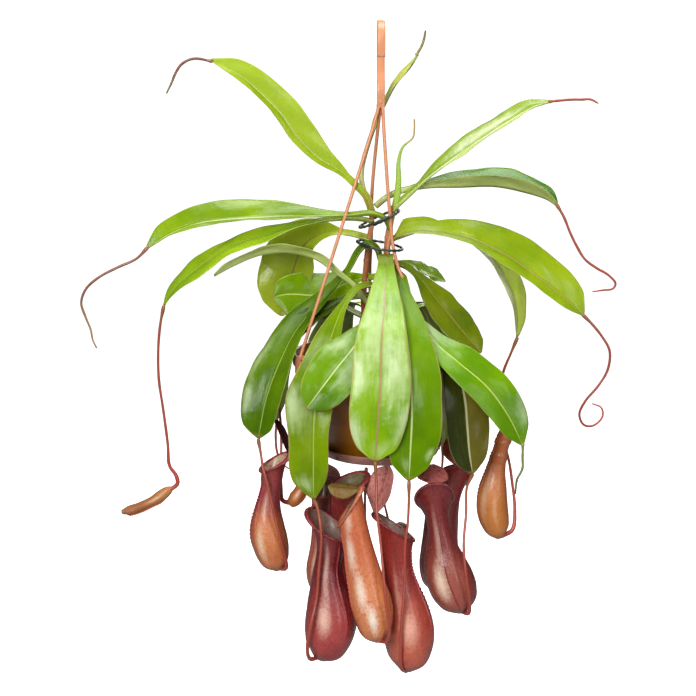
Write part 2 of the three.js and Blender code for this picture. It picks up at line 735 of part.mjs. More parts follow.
    name: 'pitcher_back_left',
    axis: [[-40, 62, -500], [-38, 62, -488], [-38, 60, -468], [-40, 58, -435], [-40, 57, -412],
      [-40, 57, -398]],
    belly: 17,
    waist: 9.5,
    mouth: 12,
    high: [0, -1, 0],
    slant: 10,
    lid: { tip: [-40, 36, -368], face: [0, 1, 0.5], width: 22 },
    tendril: [[-50, 102, -365.4], [-49, 100, -385], [-45, 92, -410], [-42, 86, -445], [-41, 84, -475],
      [-41, 80, -494], [-40, 70, -503], [-40, 62, -499]],
  },
  {
    name: 'pitcher_back_right',
    axis: [[50, 64, -482], [50, 64, -470], [50, 62, -452], [48, 60, -424], [48, 59, -404], [48, 59, -392]],
    belly: 15,
    waist: 8.5,
    mouth: 11,
    high: [0, -1, 0],
    slant: 9,
    lid: { tip: [48, 40, -364], face: [0, 1, 0.5], width: 20 },
    tendril: [[56, 98, -362.4], [56, 98, -375], [54, 92, -400], [52, 86, -430], [52, 84, -460],
      [52, 80, -477], [51, 72, -485], [50, 64, -481]],
  },
  {
    name: 'pitcher_young_back',
    finish: 'orangePitcher',
    axis: [[18, 86, -497], [18, 85, -487], [18, 83, -472], [19, 82, -449], [20, 82, -431]],
    belly: 9.5,
    waist: 6,
    mouth: 5.4,
    high: [0, -1, 0],
    slant: 1,
    closed: true,
    tendril: [[-3, 112, -368.4], [-2, 114, -385], [4, 112, -410], [11, 108, -440], [15, 104, -470],
      [17, 100, -488], [18, 94, -499], [18, 87, -497]],
  },
];

// ---------------------------------------------------------------- stems, holder and ties

const MAIN_STEM = [[3, 8, -292], [4, 7, -255], [4, 5, -218], [5, 2, -182], [6, 0, -167], [8, -1, -154],
  [10, -1, -142]];
const SIDE_SHOOT = [[9, -2, -292], [9, -2, -255], [8, -3, -216], [6, -5, -185], [6, -5, -173], [8, -3, -163],
  [8, -1, -156]];
const LEFT_STEM = [[-11, 18, -292], [-11, 17, -258], [-13, 13, -219], [-11, 9, -188], [-9, 5, -169],
  [-7, 2, -157], [-7, 0, -147]];

const mainStem = (grow) => unionOf([
  stalk(MAIN_STEM, (share) => mix(3.4, 2.4, share) + grow, 7, 12),
  stalk(SIDE_SHOOT, (share) => mix(2.4, 1.8, share) + grow, 6, 12),
]);

const leftStem = (grow) => stalk(LEFT_STEM, (share) => mix(2.6, 2, share) + grow, 6, 12);

const ROLLED_LEAF = [[11, -1, -145], [13, -2, -133], [14, -3, -121], [14, -4, -106], [17, -5, -95],
  [25, -6, -87], [26, -6, -81], [26, -6, -73]];

const rolledLeaf = (grow) =>
  stalk(ROLLED_LEAF, (share) => mix(2.9, 0.7, smoothstep(share, 0, 0.9)) + grow, 6, 14);

const lathe = (profile, segments) => {
  const turned = new THREE.LatheGeometry(profile.map(([r, z]) => new THREE.Vector2(r, z)), segments);
  return turned.rotateX(Math.PI / 2);
};

const collarBottom = POT.rimTop - POT.collarDrop;
const bodySlope = (POT.bodyTopRadius - POT.baseRadius) / (collarBottom - POT.baseZ);
const outerRadiusAt = (z) => POT.baseRadius + (z - POT.baseZ) * bodySlope;
const innerRadiusAt = (z) => outerRadiusAt(z) - POT.wall;

function potSolid() {
  const floorTop = POT.baseZ + POT.wall;
  const cornerTop = floorTop + POT.baseRounding;
  const profile = [
    [POT.drainRadius, POT.baseZ],
    [POT.baseRadius - POT.baseRounding, POT.baseZ],
    [outerRadiusAt(POT.baseZ + POT.baseRounding), POT.baseZ + POT.baseRounding],
    [POT.bodyTopRadius, collarBottom],
    [POT.rimRadius - POT.rimRounding / 2, collarBottom],
    [POT.rimRadius, collarBottom + POT.rimRounding],
    [POT.rimRadius, POT.rimTop - POT.rimRounding],
    [POT.rimRadius - POT.rimRounding, POT.rimTop],
    [POT.rimRadius - POT.rimWidth, POT.rimTop],
    [innerRadiusAt(collarBottom), collarBottom],
    [innerRadiusAt(cornerTop), cornerTop],
    [innerRadiusAt(floorTop) - POT.baseRounding, floorTop],
    [POT.drainRadius, floorTop],
    [POT.drainRadius, POT.baseZ],
  ];
  return toSolid(lathe(profile, POT.segments));
}

// The clip-on dish, with ribs on its floor that hold it clear of the pot's side.
function saucerSolid() {
  const floorTop = SAUCER.underside + SAUCER.wall;
  const profile = [
    [0, SAUCER.underside],
    [SAUCER.baseRadius, SAUCER.underside],
    [SAUCER.lipRadius, SAUCER.lipTop - 1],
    [SAUCER.lipRadius, SAUCER.lipTop],
    [SAUCER.lipRadius - SAUCER.wall, SAUCER.lipTop],
    [SAUCER.baseRadius - SAUCER.wall, floorTop],
    [0, floorTop],
  ];
  const inner = outerRadiusAt(SAUCER.lipTop) + SAUCER.ribGap;
  const outer = SAUCER.lipRadius - SAUCER.wall;
  const depth = SAUCER.wall / 2;
  const height = SAUCER.lipTop - SAUCER.ribGap - floorTop;
  const ribs = Array.from({ length: SAUCER.ribCount }, (_, i) => {
    const rib = new THREE.BoxGeometry(outer + depth - inner, SAUCER.ribWidth, height + depth);
    rib.translate((outer + depth + inner) / 2, 0, floorTop + (height - depth) / 2);
    return toSolid(rib.rotateZ((i * Math.PI * 2) / SAUCER.ribCount));
  });
  return unionOf([toSolid(lathe(profile, SAUCER.segments)), ...ribs]);
}

function soilSolid() {
  const bottom = POT.baseZ + POT.wall + SOIL.floorGap;
  const top = SOIL.edgeZ + SOIL.crownRise;
  const profile = [
    [0, bottom],
    [innerRadiusAt(bottom) - CLEARANCE, bottom],
    [innerRadiusAt(SOIL.edgeZ) - CLEARANCE, SOIL.edgeZ],
    [POT.baseRadius, mix(SOIL.edgeZ, top, SOIL.shoulder)],
    [POT.baseRadius * SOIL.crown, top],
    [0, top],
  ];
  return toSolid(lathe(profile, SOIL.segments)).subtract(mainStem(CLEARANCE)).subtract(leftStem(CLEARANCE));
}

// A flat strap: round the hook's bend, then down the shank to the point that the strands leave from.
function hookSolid(grow) {
  const rise = HOOK.innerRadius + HOOK.strapThickness / 2;
  const bendSteps = 6;
  const bend = Array.from({ length: bendSteps + 1 }, (_, i) => {
    const angle = (i * Math.PI) / bendSteps;
    return [0, Math.cos(angle) * rise, Math.sin(angle) * rise - HOOK.innerRadius];
  });
  const end = HOOK.shankEndZ;
  const shank = [[0, end], [0.05, end + 14], [0.5, end + 26], [0.93, HOOK.noseZ]];
  const shankPoints = shank.map(([share, z]) => [0, share * rise, z]);
  const path = curveThrough([...shankPoints, ...bend, [0, -rise, HOOK.noseZ]]);
  const across = HOOK.strapWidth / 2 + grow;
  const through = HOOK.strapThickness / 2 + grow;
  const corner = HOOK.edgeChamfer;
  const section = [
    [across, through - corner], [across - corner, through],
    [corner - across, through], [-across, through - corner],
    [-across, corner - through], [corner - across, -through],
    [across - corner, -through], [across, corner - through],
  ];
  const rings = framesAlong(path, evenShares(15), new THREE.Vector3(1, 0, 0)).map(({ at, normal, side }) =>
    section.map(([w, t]) => at.clone().addScaledVector(normal, w).addScaledVector(side, t)),
  );
  return toSolid(loftGeometry(rings));
}

// The clip at a strand's end: over the pot's lip, down the collar and a toe under it.
function clipSolid(angle, grow) {
  const inner = POT.rimRadius - CLIP.lipReach;
  const face = POT.rimRadius + CLIP.gap;
  const outer = face + CLIP.thickness;
  const seat = POT.rimTop + CLIP.gap;
  const top = seat + CLIP.thickness;
  const toeTop = collarBottom - CLIP.gap;
  const toeBottom = toeTop - CLIP.toeThickness;
  const outline = new THREE.Shape([
    [inner, seat], [face, seat], [face, toeTop], [face - CLIP.toeReach, toeTop],
    [face - CLIP.toeReach, toeBottom], [outer, toeBottom], [outer, top], [inner, top],
  ].map(([r, z]) => new THREE.Vector2(r, z)));
  const clip = new THREE.ExtrudeGeometry(outline, { depth: CLIP.width + 2 * grow, bevelEnabled: false });
  clip.translate(0, 0, -CLIP.width / 2 - grow).rotateX(Math.PI / 2);
  return toSolid(clip.rotateZ(radians(angle)));
}

// One strand from the foot of the shank to its clip. `angle` is where the clip sits round the rim.
function strandSolid({ angle, route }, grow) {
  const reach = POT.rimRadius - CLIP.gap;
  const end = [
    Math.cos(radians(angle)) * reach,
    Math.sin(radians(angle)) * reach,
    POT.rimTop + CLIP.gap + CLIP.thickness / 2,
  ];
  const cord = stalk([...route, end], () => STRAND.radius + grow, STRAND.sides, 2 * route.length + 2);
  return cord.add(clipSolid(angle, grow));
}

const STRANDS = [
  { name: 'strand_left', angle: 205, route: [[-1.8, 0, STRAND.topZ], [-2.3, -0.2, -66]] },
  {
    name: 'strand_right',
    angle: 290,
    route: [[1.6, -0.2, STRAND.topZ], [1.8, -1, -70], [5, -8, -120], [7, -10, -145], [9, -10, -167],
      [13, -11, -184], [21, -14, -195], [23, -18, -201], [22, -25, -208], [19, -35, -217], [21, -52, -238]],
  },
  {
    name: 'strand_back',
    angle: 95,
    route: [[-0.1, 2.8, STRAND.topZ], [-1, 3.2, -70], [-6, 8, -122], [-7, 12, -145], [-7, 13, -168],
      [-8, 22, -195]],
  },
];

// A wire tie: a little more than one turn round the stems, with its ends side by side.
function tieSolid({ centre, halfX, halfY, tilt, start }, grow) {
  const points = evenShares(TIE.steps).map((share) => {
    const turn = share * TIE.turns;
    const angle = radians(start) + turn * Math.PI * 2;
    const spread = 1 + TIE.spread * turn;
    const x = Math.cos(angle) * halfX * spread;
    const y = Math.sin(angle) * halfY * spread;
    return [centre[0] + x, centre[1] + y, centre[2] + x * tilt + turn * TIE.pitch];
  });
  return stalk(points, () => TIE.radius + grow, 4, TIE.steps);
}

const TIES = [
  { name: 'tie_lower', centre: [0, 0.5, -174], halfX: 16.5, halfY: 17, tilt: -0.15, start: 200 },
  { name: 'tie_upper', centre: [-0.5, 0, -152.5], halfX: 14.5, halfY: 15, tilt: 0.45, start: 250 },
];

// ---------------------------------------------------------------- assembly

const group = new THREE.Group();
const placed = [];

function addNode(name, solid, material) {
  const mesh = new THREE.Mesh(toGeometry(solid), material);
  mesh.name = name;
  group.add(mesh);
}

function overlapping(a, b) {
  const [p, q] = [a.boundingBox(), b.boundingBox()];
  return [0, 1, 2].every((k) => p.min[k] <= q.max[k] && q.min[k] <= p.max[k]);
}

// Adds a plant piece after cutting it clear of the pieces it grows against.
function addGrown(name, make, material) {
  const whole = make(0);
  const cut = placed
    .filter(({ grown }) => overlapping(grown, whole))
    .reduce((solid, { grown }) => solid.subtract(grown), whole);
  placed.push({ grown: make(CLEARANCE) });
  addNode(name, largestPiece(cut), material);
}

addNode('pot', potSolid(), FINISH.pot);
addNode('saucer', saucerSolid(), FINISH.saucer);
addNode('soil', soilSolid(), FINISH.soil);
addGrown('hanger_hook', hookSolid, FINISH.hanger);
STRANDS.forEach((strand) => addGrown(strand.name, (grow) => strandSolid(strand, grow), FINISH.hanger));
addGrown('stem_main', mainStem, FINISH.stem);
addGrown('stem_left', leftStem, FINISH.stem);
TIES.forEach((tie) => addGrown(tie.name, (grow) => tieSolid(tie, grow), FINISH.tie));
addGrown('leaf_rolled', rolledLeaf, FINISH.leaf);
LEAVES.forEach((leaf) => addGrown(leaf.name, (grow) => leafSolid(leaf, grow), FINISH.leaf));
PITCHERS.forEach((pitcher) =>
  addGrown(pitcher.name, (grow) => pitcherSolid(pitcher, grow), FINISH[pitcher.finish ?? 'darkPitcher']),
);

export default group;
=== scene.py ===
"""Hanging pitcher plant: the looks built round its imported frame.

Lengths in the lists and named values are real millimetres in the plant's own frame, with +Z up and the origin
at the point inside the hook that bears on whatever the plant hangs from. Meshes are made in metres.
"""

import math

import bpy
import numpy as np
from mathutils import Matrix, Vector


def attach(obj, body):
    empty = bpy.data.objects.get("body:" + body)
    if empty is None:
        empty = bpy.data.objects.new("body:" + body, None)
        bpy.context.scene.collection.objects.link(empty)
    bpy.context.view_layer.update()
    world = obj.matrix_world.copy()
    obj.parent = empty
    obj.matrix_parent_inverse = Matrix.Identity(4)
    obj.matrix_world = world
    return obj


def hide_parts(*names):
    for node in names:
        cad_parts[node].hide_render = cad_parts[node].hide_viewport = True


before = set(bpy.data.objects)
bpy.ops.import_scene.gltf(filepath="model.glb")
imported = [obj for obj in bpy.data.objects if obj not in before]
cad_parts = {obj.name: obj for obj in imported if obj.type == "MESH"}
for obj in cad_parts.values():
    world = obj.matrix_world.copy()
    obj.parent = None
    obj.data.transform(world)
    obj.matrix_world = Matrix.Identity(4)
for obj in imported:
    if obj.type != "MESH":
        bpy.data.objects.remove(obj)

bl_info = {
    "name": "Hanging Pitcher Plant",
    "version": (1, 0, 0),
    "blender": (4, 2, 0),
    "location": "View3D > Sidebar > Plant",
    "description": "Builds a hanging pitcher plant in its pot, with a studio to look at it in",
    "category": "Add Mesh",
}

MM = 0.001

# ---------------------------------------------------------------- driving dimensions

POT = dict(rim_radius=70, rim_top=-259, collar_drop=9, body_top_radius=66, base_radius=44, base_z=-338.8,
           wall=2.2, drain_radius=6)
SAUCER = dict(lip_radius=50, lip_top=-333.5, base_radius=47, underside=-341, wall=1.8, rib_count=8,
              rib_width=2.4, rib_inner=46.3)
SOIL = dict(edge_z=-268, crown_rise=7, radius=62.2, wall_radius=61.5, wall_height=5, crown_start=15, roll=1.1,
            grit=0.35, chips=260, chip_sizes=(1.2, 4.2), chip_reach=58)
HOOK = dict(strap_width=6.2, strap_thickness=3, inner_radius=12, nose_z=-24, shank_end_z=-62, corner_power=5,
            yoke_radius=2.4)
STRAND_RADIUS = 1.35
CLIP = dict(width=7, gap=0.4, thickness=2.3, lip_reach=4, toe_reach=3, toe_thickness=1.8)
TIE = dict(radius=0.9, turns=1.12, spread=0.12, pitch=1.5)
# thickness of a blade, of its midrib and of its stalk; depth of the groove over the midrib; share by which
# its breadth wanders; share by which the rows crowd to the tip
BLADE = dict(petiole_half=3, tip_half=1.1, curl=14, tip_taper=0.35, thickness=0.62, keel=0.7,
             stalk=2.7, groove=0.28, wander=0.035, crowding=0.06)
TENDRIL = dict(radius=1.05, collar=0.5, knobs=0.07, free_end=0.6, pitcher_end=2, ring_spacing=1.8)
# how far a pitcher's two front wings stand from its middle line, in radians, and how sharp they are
WING = dict(height=1.7, turn=0.4, breadth=0.035, fringes=190)
CUP = dict(rows=72, foot_rows=12, sides=60, inside_rows=34, wall=1.2, lip=1.9, lip_rows=13, swell=0.25)
CAP_ROWS = 8

# spine: points along a leaf's midrib; faces: which way its upper face looks, from stalk to tip; halves and
# fold: half breadths and upward tilt in degrees, right of the midrib and left of it; petiole and peak:
# shares of the length where the stalk ends and where the blade is broadest; scallop: depth, place and
# period of a dent
LEAVES = [
    dict(name="leaf_upper_left", halves=(16, 6), peak=0.5, fold=(5, 45),
         spine=[(-7, -2, -146), (-11, -4, -134), (-20, -6, -124), (-32, -8, -113), (-49, -12, -102),
                (-64, -16, -87), (-77, -20, -68), (-92, -23, -52), (-108, -25, -38), (-131, -27, -26)],
         faces=[(-0.3, -0.9, 0.3), (0, -1, 0), (0, -1, 0.2), (-0.2, -1, 0.3)],
         tendril=[(-129, -27, -27), (-143, -28, -25), (-152, -29, -29), (-157, -29, -36), (-160, -29, -43),
                  (-164, -29, -51)]),
    dict(name="leaf_upright", halves=(6, 6), fold=(25, 25),
         spine=[(-7, 4, -147), (-13, 8, -132), (-15, 11, -119), (-11, 14, -101), (-4, 16, -80),
                (3, 17, -64), (12, 17, -47), (23, 17, -34), (29, 17, -24)],
         faces=[(-1, -0.2, 0.2), (-1, -0.25, 0.3)],
         tendril=[(28, 17, -25), (32, 17, -18), (34, 17, -12), (35, 17, -6)]),
    dict(name="leaf_upper_right", halves=(7, 15), peak=0.52, fold=(20, 20),
         spine=[(9, -3, -144), (19, -6, -134), (36, -12, -118), (56, -18, -102), (77, -22, -87),
                (97, -26, -73), (115, -28, -62), (130, -28, -57)],
         faces=[(-0.5, -0.6, 0.7), (-0.45, -0.35, 0.8), (-0.3, -0.35, 0.9)],
         tendril=[(128, -28, -57.5), (144, -28, -56), (153, -27, -56), (160, -26, -56), (166, -25, -59)]),
    dict(name="leaf_right", halves=(16, 20), fold=(40, 52),
         spine=[(-4, 3, -142), (6, 2, -134), (18, 0, -129), (36, -4, -126), (62, -8, -125),
                (89, -12, -124), (112, -16, -128), (129, -20, -133), (137, -22, -138)],
         faces=[(0, 0.1, 1), (0, 0.1, 1), (0.3, 0.1, 1)],
         tendril=[(136, -22, -137), (142, -23, -147), (147, -24, -159), (152, -24, -169), (159, -24, -180),
                  (168, -23, -187), (178, -22, -193), (184, -21, -200), (182, -21, -204), (174, -22, -205),
                  (166, -23, -206)]),
    dict(name="leaf_far_right", halves=(12, 22), base=0.6, fold=(15, 30), petiole=0.03, peak=0.68,
         spine=[(8, -4, -168), (16, -8, -163), (25, -11, -160), (38, -16, -159), (54, -21, -160),
                (75, -27, -165), (96, -31, -175), (117, -34, -189), (137, -35, -204), (158, -34, -223)],
         faces=[(0.1, -0.3, 0.95), (0.3, -0.6, 0.7), (0.4, -0.6, 0.6)],
         tendril=[(157, -34, -222), (165, -34, -230), (173, -34, -240), (179, -34, -251), (178, -34, -266),
                  (171, -34, -279), (161, -33, -292), (157, -31, -303), (161, -29, -312), (169, -27, -313),
                  (176, -26, -306), (175, -25, -299), (168, -24, -296)]),
    dict(name="leaf_right_hanging", halves=(15, 20),
         spine=[(12, 4, -167), (31, 5, -161), (52, 2, -160), (67, -3, -164), (81, -9, -174),
                (93, -14, -187), (102, -17, -203), (107, -19, -222), (108, -20, -243)],
         faces=[(0, -0.3, 1), (0.4, -0.3, 0.8), (0.85, -0.4, 0.3), (0.9, -0.45, 0)]),
    dict(name="leaf_far_left", halves=(18, 6), fold=(10, 40),
         spine=[(8, -3, -159), (3, -6, -150), (-7, -8, -146), (-24, -10, -147), (-56, -13, -148),
                (-86, -16, -148), (-114, -20, -149), (-141, -23, -152), (-164, -26, -160),
                (-182, -28, -171)],
         faces=[(0, -0.4, 0.9), (0, -0.7, 0.7), (-0.2, -0.8, 0.6)],
         tendril=[(-181, -28, -170), (-190, -28, -179), (-205, -28, -186), (-220, -28, -194),
                  (-230, -28, -203), (-234, -28, -214), (-231, -28, -225), (-227, -28, -236),
                  (-226, -28, -243), (-223, -28, -250)]),
    dict(name="leaf_left", halves=(11, 17), scallop=(0.07, 0.62, 0.3),
         spine=[(-6, 0, -153), (-16, -2, -151), (-30, -6, -150), (-56, -12, -153), (-85, -18, -160),
                (-110, -24, -167), (-133, -28, -179), (-151, -32, -192), (-163, -34, -204),
                (-169, -34, -215)],
         faces=[(0, -0.15, 1), (0, -0.3, 0.95), (-0.4, -0.4, 0.8)]),
    dict(name="leaf_left_folded", halves=(28, 17), peak=0.66,
         spine=[(-7, 3, -168), (-24, 6, -164), (-42, 11, -164), (-57, 19, -172), (-65, 24, -184),
                (-71, 27, -202), (-76, 27, -220), (-80, 26, -235)],
         faces=[(0, -0.5, 0.85), (-0.3, -0.7, 0.6), (-0.2, -1, 0.2), (0, -1, 0)]),
    dict(name="leaf_left_low", halves=(17, 13), fold=(25, 25),
         spine=[(-5, 2, -225), (-13, 0, -215), (-22, -3, -203), (-36, -6, -193), (-51, -9, -182),
                (-71, -13, -176), (-94, -18, -177), (-114, -24, -184), (-130, -29, -192)],
         faces=[(0.6, 0.3, 0.6), (0.3, 0.3, 0.9), (0, 0.3, 0.95), (-0.2, 0.3, 0.95)]),
    dict(name="leaf_left_short", halves=(19, 22), fold=(10, 10), petiole=0.12, peak=0.62,
         spine=[(-3, 8, -199), (-16, 15, -202), (-28, 19, -207), (-40, 19, -213), (-54, 17, -216),
                (-67, 15, -215), (-77, 13, -215), (-86, 12, -217)],
         faces=[(0, -0.6, 0.8), (0.1, -1, 0.3)]),
    dict(name="leaf_left_drooping", halves=(21, 16), fold=(5, 40), petiole=0.25, peak=0.8,
         scallop=(0.05, 0.62, 0.26),
         spine=[(1, 0, -186), (-3, -6, -174), (-10, -8, -170), (-17, -5, -176), (-27, 1, -195),
                (-47, 0, -218), (-65, -10, -237), (-78, -25, -259), (-90, -37, -290), (-96, -41, -320)],
         faces=[(0.3, -0.6, 0.6), (-0.3, -0.8, 0.5), (-0.3, -0.8, 0.4), (0, -1, 0)]),
    dict(name="leaf_front_left", halves=(22, 13), peak=0.68, scallop=(0.09, 0.77, 0.3),
         spine=[(-1, -8, -207), (-8, -14, -202), (-17, -20, -203), (-29, -34, -215), (-38, -50, -235),
                (-46, -64, -260), (-51, -76, -289), (-52, -82, -322), (-52, -84, -357)],
         faces=[(0, -0.6, 0.8), (0, -0.8, 0.6), (0, -1, 0.2), (0, -1, 0)]),
    dict(name="leaf_front_left_short", halves=(20, 22), fold=(8, 8),
         spine=[(-2, -14, -219), (-10, -34, -227), (-20, -58, -241), (-35, -74, -257), (-47, -85, -271),
                (-57, -89, -284)],
         faces=[(0, -0.6, 0.8), (-0.1, -0.8, 0.6), (0, -1, 0.1)]),
    dict(name="leaf_front", halves=(23, 23), fold=(8, 8), petiole=0.04, petiole_half=6, peak=0.74,
         spine=[(4, -7, -179), (4, -18, -188), (3, -36, -201), (2, -54, -216), (0, -72, -235),
                (-1, -86, -266), (-3, -92, -297), (-5, -93, -324)],
         faces=[(0, -0.5, 0.85), (0, -0.75, 0.6), (0, -0.95, 0.3), (0, -1, 0.05)]),
    dict(name="leaf_front_right", halves=(21, 23.5), fold=(8, 8), petiole=0.04, petiole_half=4.5,
         peak=0.68, base=0.25,
         spine=[(9, -5, -188), (11, -14, -195), (15, -32, -209), (19, -56, -231), (22, -76, -259),
                (23, -85, -290), (22, -88, -317), (21, -88, -341)],
         faces=[(0, -0.5, 0.85), (0, -0.75, 0.6), (0, -0.95, 0.3), (0, -1, 0.05)]),
    dict(name="leaf_right_low", halves=(15, 14), fold=(10, 10),
         spine=[(9, 4, -187), (20, 5, -190), (30, 2, -198), (42, -4, -212), (55, -11, -227),
                (67, -18, -241), (79, -27, -254)],
         faces=[(0, -0.6, 0.8), (0.3, -0.8, 0.5)]),
    dict(name="leaf_right_low_dark", halves=(8, 9),
         spine=[(13, 8, -189), (22, 12, -189), (35, 18, -196), (53, 24, -206)],
         faces=[(0, -0.5, 0.9)]),
    dict(name="leaf_front_far_right", halves=(15, 18), fold=(8, 8),
         spine=[(12, -16, -214), (21, -30, -217), (32, -42, -228), (44, -55, -242), (59, -67, -253),
                (81, -74, -271), (97, -74, -293), (109, -72, -317)],
         faces=[(0, -0.6, 0.8), (0.1, -0.8, 0.6), (0.1, -0.9, 0.4)],
         tendril=[(109, -72, -316), (109, -72, -327), (109, -72, -336), (105, -72, -345),
                  (104, -72, -356)]),
    dict(name="leaf_right_shaded", halves=(18, 19), fold=(8, 8), peak=0.68,
         spine=[(12, -10, -222), (26, -24, -227), (42, -36, -240), (52, -48, -250), (60, -55, -265),
                (65, -58, -285), (67, -57, -305), (69, -56, -327), (72, -54, -345)],
         faces=[(0.3, -0.5, 0.8), (0.4, -0.9, 0.2), (0.2, -1, 0)]),
    dict(name="leaf_left_shaded", halves=(11, 9),
         spine=[(-6, 6, -214), (-24, 2, -215), (-44, -2, -224), (-63, -8, -236), (-79, -10, -259),
                (-82, -9, -284)],
         faces=[(0, -0.6, 0.8), (-0.4, -0.8, 0.4)]),
    dict(name="leaf_back_left", halves=(20, 20),
         spine=[(-4, 12, -238), (-14, 40, -228), (-30, 78, -240), (-42, 98, -280), (-48, 104, -325),
                (-50, 102, -365)],
         faces=[(0, -0.3, 1), (0, 0.3, 1), (-0.2, 0.9, 0.4), (-0.2, 1, 0)]),
    dict(name="leaf_back_right", halves=(20, 20),
         spine=[(7, 12, -238), (18, 40, -228), (38, 78, -240), (50, 98, -280), (55, 102, -325),
                (56, 98, -362)],
         faces=[(0, -0.3, 1), (0, 0.3, 1), (0.2, 0.9, 0.4), (0.2, 1, 0)]),
    dict(name="leaf_back_middle", halves=(19, 19),
         spine=[(2, 16, -236), (3, 45, -226), (0, 88, -240), (-2, 110, -285), (-3, 116, -335),
                (-3, 112, -368)],
         faces=[(0, -0.3, 1), (0, 0.3, 1), (0, 0.9, 0.4), (0, 1, 0)]),
    dict(name="leaf_back_far_left", halves=(17, 17),
         spine=[(-9, 12, -234), (-42, 36, -226), (-70, 58, -245), (-83, 72, -290), (-86, 76, -335)],
         faces=[(0, -0.3, 1), (-0.3, 0.2, 1), (-0.7, 0.7, 0.3), (-0.7, 0.7, 0)],
         tendril=[(-86, 76, -334), (-87, 77, -348), (-86, 76, -362), (-82, 74, -372), (-76, 72, -376)]),
    dict(name="leaf_back_far_right", halves=(17, 17),
         spine=[(12, 12, -234), (40, 38, -228), (62, 62, -248), (72, 76, -290), (74, 80, -335)],
         faces=[(0, -0.3, 1), (0.3, 0.2, 1), (0.7, 0.7, 0.3), (0.7, 0.7, 0)],
         tendril=[(74, 80, -334), (75, 81, -348), (73, 81, -360), (68, 79, -367), (63, 77, -365)]),
]

